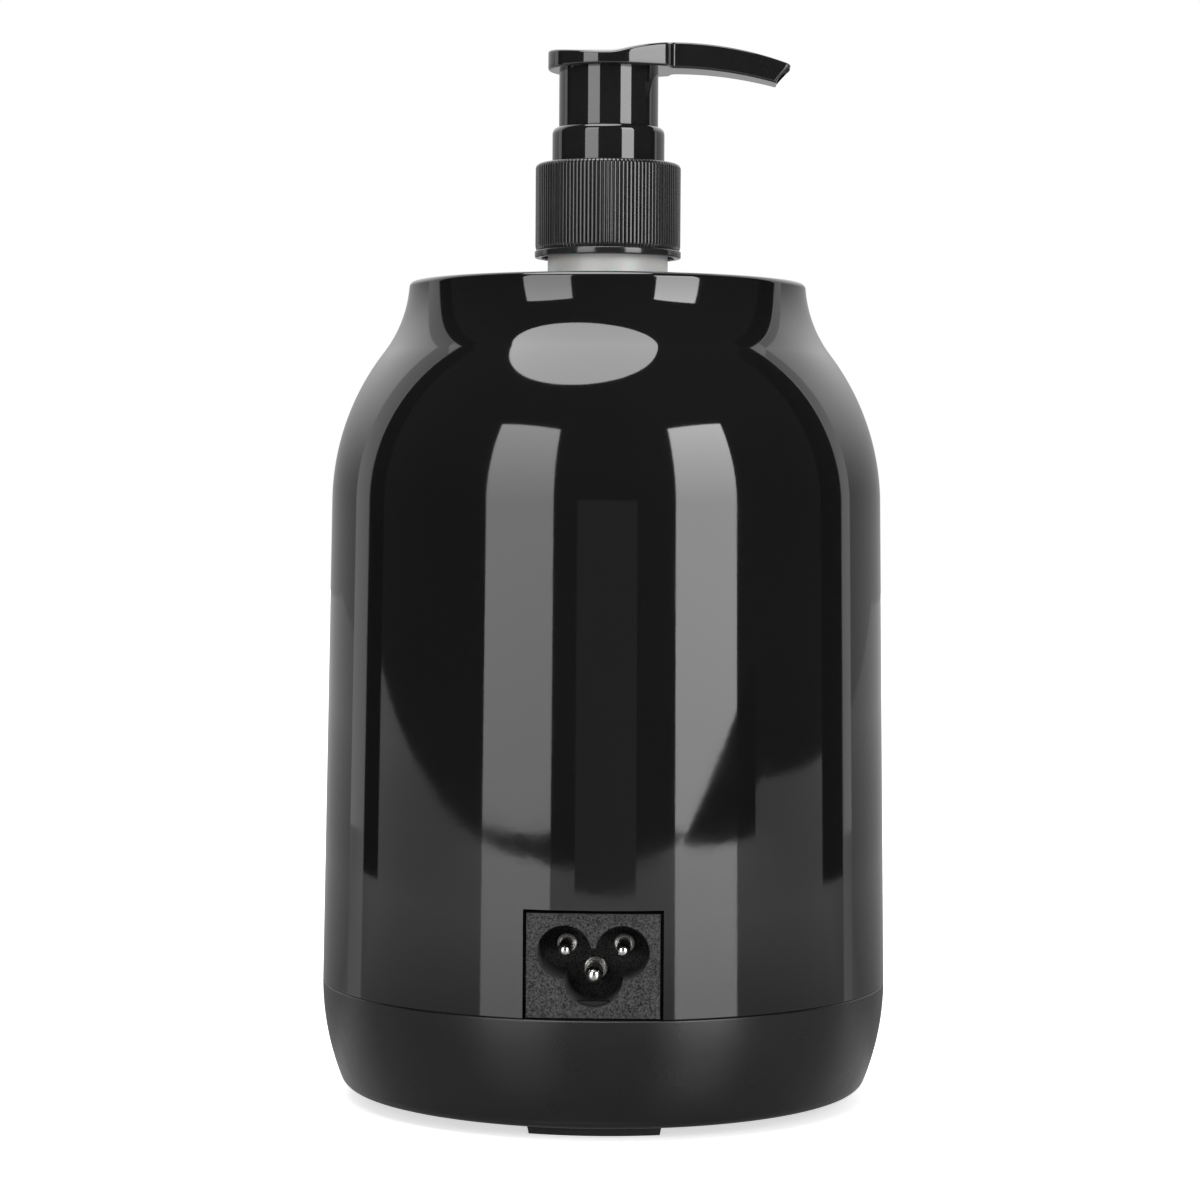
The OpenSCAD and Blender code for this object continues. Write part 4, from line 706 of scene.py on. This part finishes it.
SKIRT_R, SKIRT_BORE_R, SKIRT_Z, SKIRT_EDGE, SKIRT_FOOT, SKIRT_LAP = 9.15, 8.0, 178.5, 0.2, 0.5, 0.4
HUB_R, HUB_BORE_R, HUB_Z, PAD_UNDER = 5.0, 3.25, 178.6, 0.2
skirt_profile = [(SKIRT_BORE_R, SKIRT_Z)]
skirt_profile += arc(SKIRT_R - SKIRT_EDGE, SKIRT_Z, SKIRT_EDGE, -QUARTER, 0, 4)
skirt_profile += line((SKIRT_R, SKIRT_Z + SKIRT_FOOT), (SKIRT_R, PAD_Z + SKIRT_LAP), 6)
skirt_profile += [(SKIRT_R, PAD_Z + SKIRT_LAP), (HUB_BORE_R, PAD_Z + SKIRT_LAP), (HUB_BORE_R, HUB_Z)]
skirt_profile += [(HUB_R, HUB_Z), (HUB_R, PAD_Z - PAD_UNDER), (SKIRT_BORE_R, PAD_Z - PAD_UNDER)]
finish(lathe("pump_skirt", skirt_profile, 192, 40), "pump_black", "head")

# Window and buttons on the front

true_normals(dress("display_lens", "smoked_lens", 30))
for name in ("button_down", "button_power", "button_up"):
    round_edges(dress(name, "button_black", 30), 0.25, 3)

BUTTON_PROUD, MARK_LIFT, MARK_SUNK = 0.3, 0.025, -0.08
BAR_HALF, BAR_T = 1.4, 0.18
RING_R, RING_IN, RING_STEPS, RING_FROM, RING_TURN = 1.55, 1.2, 40, 125, 290
STROKE_T, STROKE_LOW, STROKE_TOP = 0.175, 0.55, 1.95


def mark(name, quads, centre_x, body):
    """Thin raised mark on a button: quads of (u, v) about the button's centre."""
    verts, faces = [], []
    for quad in quads:
        faces += skin(2, 4, len(verts))
        for lift in (MARK_LIFT, MARK_SUNK):
            for u, v in quad:
                x, z = centre_x + u, BUTTON_Z + v
                verts.append((x, -math.sqrt((housing_radius(z) + BUTTON_PROUD + lift) ** 2 - x ** 2), z))
    finish(mesh_object(name, verts, faces), "icon_grey", body)


ends = (math.radians(RING_FROM), math.radians(RING_FROM + RING_TURN), RING_STEPS)
outer_ring, inner_ring = arc(0, 0, RING_R, *ends), arc(0, 0, RING_IN, *ends)
ring = [[outer_ring[i], outer_ring[i + 1], inner_ring[i + 1], inner_ring[i]] for i in range(RING_STEPS)]
minus = bar(-BAR_HALF, -BAR_T, BAR_HALF, BAR_T)
upper, lower = bar(-BAR_T, BAR_T, BAR_T, BAR_HALF), bar(-BAR_T, -BAR_HALF, BAR_T, -BAR_T)
mark("mark_power", ring + [bar(-STROKE_T, STROKE_LOW, STROKE_T, STROKE_TOP)], 0, "key_power")
mark("mark_down", [minus], -BUTTON_PITCH, "key_down")
mark("mark_up", [minus, upper, lower], BUTTON_PITCH, "key_up")

# Everything else keeps its solid and gets its finish

for name, look in {
    "base_screws": "screw_steel", "heating_cup": "cup_aluminium", "cup_seal": "grey_silicone",
    "cup_support": "support_plastic", "heater_band": "heater_film", "insulation_sleeve": "insulation_felt",
    "thermal_cutout": "dark_resin", "temperature_sensor": "sensor_resin", "inlet_pins": "pin_nickel",
    "power_board": "board_green", "power_board_screws": "screw_steel", "control_board": "board_green",
    "control_board_screws": "screw_steel", "display_module": "display_dark", "tact_switches": "switch_black",
    "inlet_wires": "wire_sleeve", "heater_leads": "lead_sleeve", "ribbon_cable": "ribbon_grey",
    "neck_gasket": "gasket_foam", "pump_cylinder": "pump_white", "dip_tube": "natural_tube",
    "valve_ball": "ball_steel", "pump_stem": "pump_white", "piston": "piston_white",
}.items():
    dress(name, look, 35)

# The pump's spring: a coil of wire that fills the CAD spring's box

WIRE_R, COILS, PER_COIL, WIRE_SIDES, PRESS = 0.4, 8, 28, 10, 9.0
low, high = (Vector(c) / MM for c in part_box("pump_spring"))
coil_r, spring_h, steps = high.x - WIRE_R, high.z - low.z, COILS * PER_COIL
verts = []
for i in range(steps + 1):
    a, z = 2 * math.pi * i / PER_COIL, low.z + WIRE_R + (spring_h - 2 * WIRE_R) * i / steps
    for r, v in circle(coil_r, 0, WIRE_R, WIRE_SIDES):
        verts.append((r * math.cos(a), r * math.sin(a), z + v))
coil = mesh_object("spring_coil", verts, skin(steps + 1, WIRE_SIDES), 60)
finish(coil, "spring_steel", "pump_body", "pump_spring")
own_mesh(coil)

# Camera, where the photograph was taken from

IMAGE_PX, FOCAL_PX, AXIS_PX, SENSOR = 1200, 3225, 5.614, 36.0
EYE = Vector((-0.020707, 0.59770, 0.111651))
PITCH, ROLL = math.radians(1.926), math.radians(0.354)
yaw = math.atan2(-EYE.y, -EYE.x) + math.atan(AXIS_PX / FOCAL_PX)
ahead = Vector((math.cos(yaw) * math.cos(PITCH), math.sin(yaw) * math.cos(PITCH), -math.sin(PITCH)))
level_right = ahead.cross(Vector((0, 0, 1))).normalized()
level_up = level_right.cross(ahead)
cam_right = math.cos(ROLL) * level_right + math.sin(ROLL) * level_up
cam_up = math.cos(ROLL) * level_up - math.sin(ROLL) * level_right
camera = bpy.data.objects.new("camera", bpy.data.cameras.new("camera"))
camera.data.lens, camera.data.sensor_width = SENSOR * FOCAL_PX / IMAGE_PX, SENSOR
camera.data.clip_start, camera.data.clip_end = 0.01, 50
camera.matrix_world = Matrix.Translation(EYE) @ Matrix((cam_right, cam_up, -ahead)).transposed().to_4x4()
scene.collection.objects.link(camera)
scene.camera = camera

# Studio: two upright softboxes beside the camera, one above, a pale table and a white surround

WHITE = (1, 1, 1, 1)


def flat_object(name, corners):
    """Object of one face, linked to the scene."""
    mesh = bpy.data.meshes.new(name)
    mesh.from_pydata(corners, [], [list(range(len(corners)))])
    obj = bpy.data.objects.new(name, mesh)
    scene.collection.objects.link(obj)
    return obj


def reflections_only(obj):
    obj.visible_camera = obj.visible_diffuse = obj.visible_shadow = obj.visible_transmission = False


def beside(angle, distance, z):
    """Place at an angle in degrees from +y, towards +x."""
    a = math.radians(angle)
    return (distance * math.sin(a), distance * math.cos(a), z)


def softbox(name, place, target, width, height, low, high, fill, shape="RECTANGLE"):
    """Lamp, and the panel that reflections show in its place: radiance from low at the foot to high at the top.

    fill: the share of the panel's radiance at which the lamp lights the object.
    """
    data = bpy.data.lights.new(name, "AREA")
    data.shape, data.size, data.size_y = shape, width, height
    data.energy = math.pi * width * height * fill * (low + high) / 2
    lamp = bpy.data.objects.new(name, data)
    scene.collection.objects.link(lamp)
    lamp.visible_camera = lamp.visible_glossy = False
    outline = bar(-1, -1, 1, 1) if shape == "RECTANGLE" else circle(0, 0, 1, 64)
    panel = flat_object(name + "_panel", [(u * width / 2, v * height / 2, 0) for u, v in outline])
    mat, tree = new_material(name + "_panel")
    spot = add_node(tree, "SeparateXYZ", {"Vector": add_node(tree, "TexCoord").outputs["Object"]})
    strength = remap(tree, spot.outputs["Y"], (-height / 2, height / 2), (low, high))
    set_surface(tree, add_node(tree, "Emission", {"Strength": strength}).outputs["Emission"])
    panel.data.materials.append(mat)
    reflections_only(panel)
    for obj in (lamp, panel):
        obj.location = place
        obj.rotation_euler = (Vector(target) - Vector(place)).to_track_quat("-Z", "Y").to_euler()


BOX_AWAY, BOX_UP, BOX_H, SIDE_FILL, TOP_FILL = 0.75, 0.30, 0.60, 0.8, 0.4
softbox("left_box", beside(32.5, BOX_AWAY, BOX_UP), (0, 0, BOX_UP), 0.37, BOX_H, 3.2, 6.3, SIDE_FILL)
softbox("right_box", beside(-42.2, BOX_AWAY, BOX_UP), (0, 0, BOX_UP), 0.34, BOX_H, 5.3, 10.6, SIDE_FILL)
softbox("top_box", (0.11, 0.22, 0.84), (0.11, 0.22, 0), 0.66, BOX_H, 8.0, 8.0, TOP_FILL, "ELLIPSE")

# Surround: white to the camera; it lights from above and from the camera's side, and is dim behind the object
world = bpy.data.worlds.new("surround")
scene.world = world
world.use_nodes = True
tree = world.node_tree
tree.nodes.clear()
ray = add_node(tree, "SeparateXYZ", {"Vector": add_node(tree, "TexCoord").outputs["Generated"]})
level = add_node(tree, "CombineXYZ", {"X": ray.outputs["X"], "Y": ray.outputs["Y"]})
unit = add_node(tree, "VectorMath", {0: level.outputs["Vector"]}, "NORMALIZE")
heading = add_node(tree, "SeparateXYZ", {"Vector": unit.outputs["Vector"]})
rise = remap(tree, ray.outputs["Z"], (0.02, 0.50), (0.42, 1.7), "SMOOTHSTEP")
room = remap(tree, heading.outputs["Y"], (-0.34, -0.42), (0.09, rise), "SMOOTHSTEP")
path = add_node(tree, "LightPath")
direct = add_node(tree, "Math", {
    0: path.outputs["Is Camera Ray"], 1: path.outputs["Is Transmission Ray"],
}, "MAXIMUM")
surround = add_node(tree, "MixShader", {
    "Fac": direct.outputs["Value"],
    1: add_node(tree, "Background", {"Color": WHITE, "Strength": room}).outputs["Background"],
    2: add_node(tree, "Background", {"Color": WHITE, "Strength": 1.0}).outputs["Background"],
})
add_node(tree, "OutputWorld", {"Surface": surround.outputs["Shader"]})

# Table: white with a soft shadow to the camera; reflections see it with painted shade, paler with distance and
# dimmer behind the object, and with a painted glow further off
TABLE = (
    (-2.0, -3.0), (2.6, -3.0), (2.15, -0.4), (0.97, 0.28), (0.28, 0.575), (0.0, 0.61),
    (-0.46, 0.62), (-0.98, 0.4), (-1.16, -0.54),
)
table = flat_object("table", [(x, y, 0) for x, y in TABLE])
mat, tree = new_material("pale_table")
place = add_node(tree, "NewGeometry").outputs["Position"]
reach = add_node(tree, "VectorMath", {0: place}, "LENGTH").outputs["Value"]
unit = add_node(tree, "VectorMath", {0: place}, "NORMALIZE")
heading = add_node(tree, "SeparateXYZ", {"Vector": unit.outputs["Vector"]})
# Painted shade behind the object: reflections see the table there mixed towards a dark diffuse
painted_shade_behind = remap(tree, heading.outputs["Y"], (-0.15, -0.45), (1.0, 0.47))
path = add_node(tree, "LightPath")
sheen = tree.nodes["Principled BSDF"]
sheen.inputs["Roughness"].default_value = 0.12
# Painted shade near the object: the table's colour is darker close to it and paler further off
tree.links.new(remap(tree, reach, (0.16, 0.42), (0.21, 0.95)), sheen.inputs["Base Color"])
painted_shade_mix = add_node(tree, "MixShader", {
    "Fac": painted_shade_behind,
    1: add_node(tree, "BsdfDiffuse", {"Color": (0.02, 0.02, 0.02, 1)}).outputs["BSDF"],
    2: sheen.outputs["BSDF"],
})
seen = add_node(tree, "MixShader", {
    "Fac": path.outputs["Is Camera Ray"],
    1: painted_shade_mix.outputs["Shader"],
    2: add_node(tree, "BsdfDiffuse", {"Color": (0.86, 0.86, 0.86, 1)}).outputs["BSDF"],
})
# Painted glow: in reflections the table glows, more with distance and less behind the object
painted_far_glow = remap(tree, reach, (0.5, 1.2), (0.16, 0.60))
painted_glow = add_node(tree, "Math", {0: painted_far_glow, 1: painted_shade_behind}, "MULTIPLY").outputs["Value"]
painted_glow_seen = add_node(tree, "Math", {0: path.outputs["Is Glossy Ray"], 1: painted_glow}, "MULTIPLY").outputs["Value"]
whiter = remap(tree, reach, (0.10, 0.70), (0.62, 1.0))
strength = add_node(tree, "Math", {0: path.outputs["Is Camera Ray"], 1: whiter, 2: painted_glow_seen}, "MULTIPLY_ADD")
glow = add_node(tree, "Emission", {"Color": WHITE, "Strength": strength.outputs["Value"]})
total = add_node(tree, "AddShader", {0: seen.outputs["Shader"], 1: glow.outputs["Emission"]})
set_surface(tree, total.outputs["Shader"])
table.data.materials.append(mat)


def card(name, angle, spread, distance, low, high, radiance, high_end=None):
    """Upright card that shows only in reflections; with high_end its top slopes and the table doesn't mirror it."""
    a0, a1 = angle - spread / 2, angle + spread / 2
    end = high if high_end is None else high_end
    obj = flat_object(name, [
        beside(a0, distance, low), beside(a1, distance, low), beside(a1, distance, end), beside(a0, distance, high),
    ])
    mat, tree = new_material(name)
    surface = add_node(tree, "Emission", {"Strength": radiance}).outputs["Emission"]
    if high_end is not None:
        depth = add_node(tree, "LightPath").outputs["Ray Depth"]
        later = add_node(tree, "Math", {0: depth, 1: 1.5}, "GREATER_THAN").outputs["Value"]
        clear = add_node(tree, "BsdfTransparent").outputs["BSDF"]
        surface = add_node(tree, "MixShader", {"Fac": later, 1: surface, 2: clear}).outputs["Shader"]
    set_surface(tree, surface)
    obj.data.materials.append(mat)
    reflections_only(obj)


FLAG_AWAY, BOUNCE_AWAY, CARD_TOP, FLAG_RADIANCE = 0.46, 0.60, 0.7, 0.04
card("flag_left", 102.6, 10.4, FLAG_AWAY, 0.0, CARD_TOP, FLAG_RADIANCE)
card("flag_right", -103.5, 14, FLAG_AWAY, 0.0, CARD_TOP, FLAG_RADIANCE)
card("bounce_back_left", 115.2, 11.3, BOUNCE_AWAY, 0.0, CARD_TOP, 1.0)
card("bounce_back_right", -115.6, 6.6, BOUNCE_AWAY, 0.0, CARD_TOP, 1.1)
card("dim_front", -2.5, 23, 0.52, 0.0, 0.127, 0.24)
card("dark_wedge", -47.6, 31.1, 0.707, -0.03, 0.067, 0.06, 0.0)
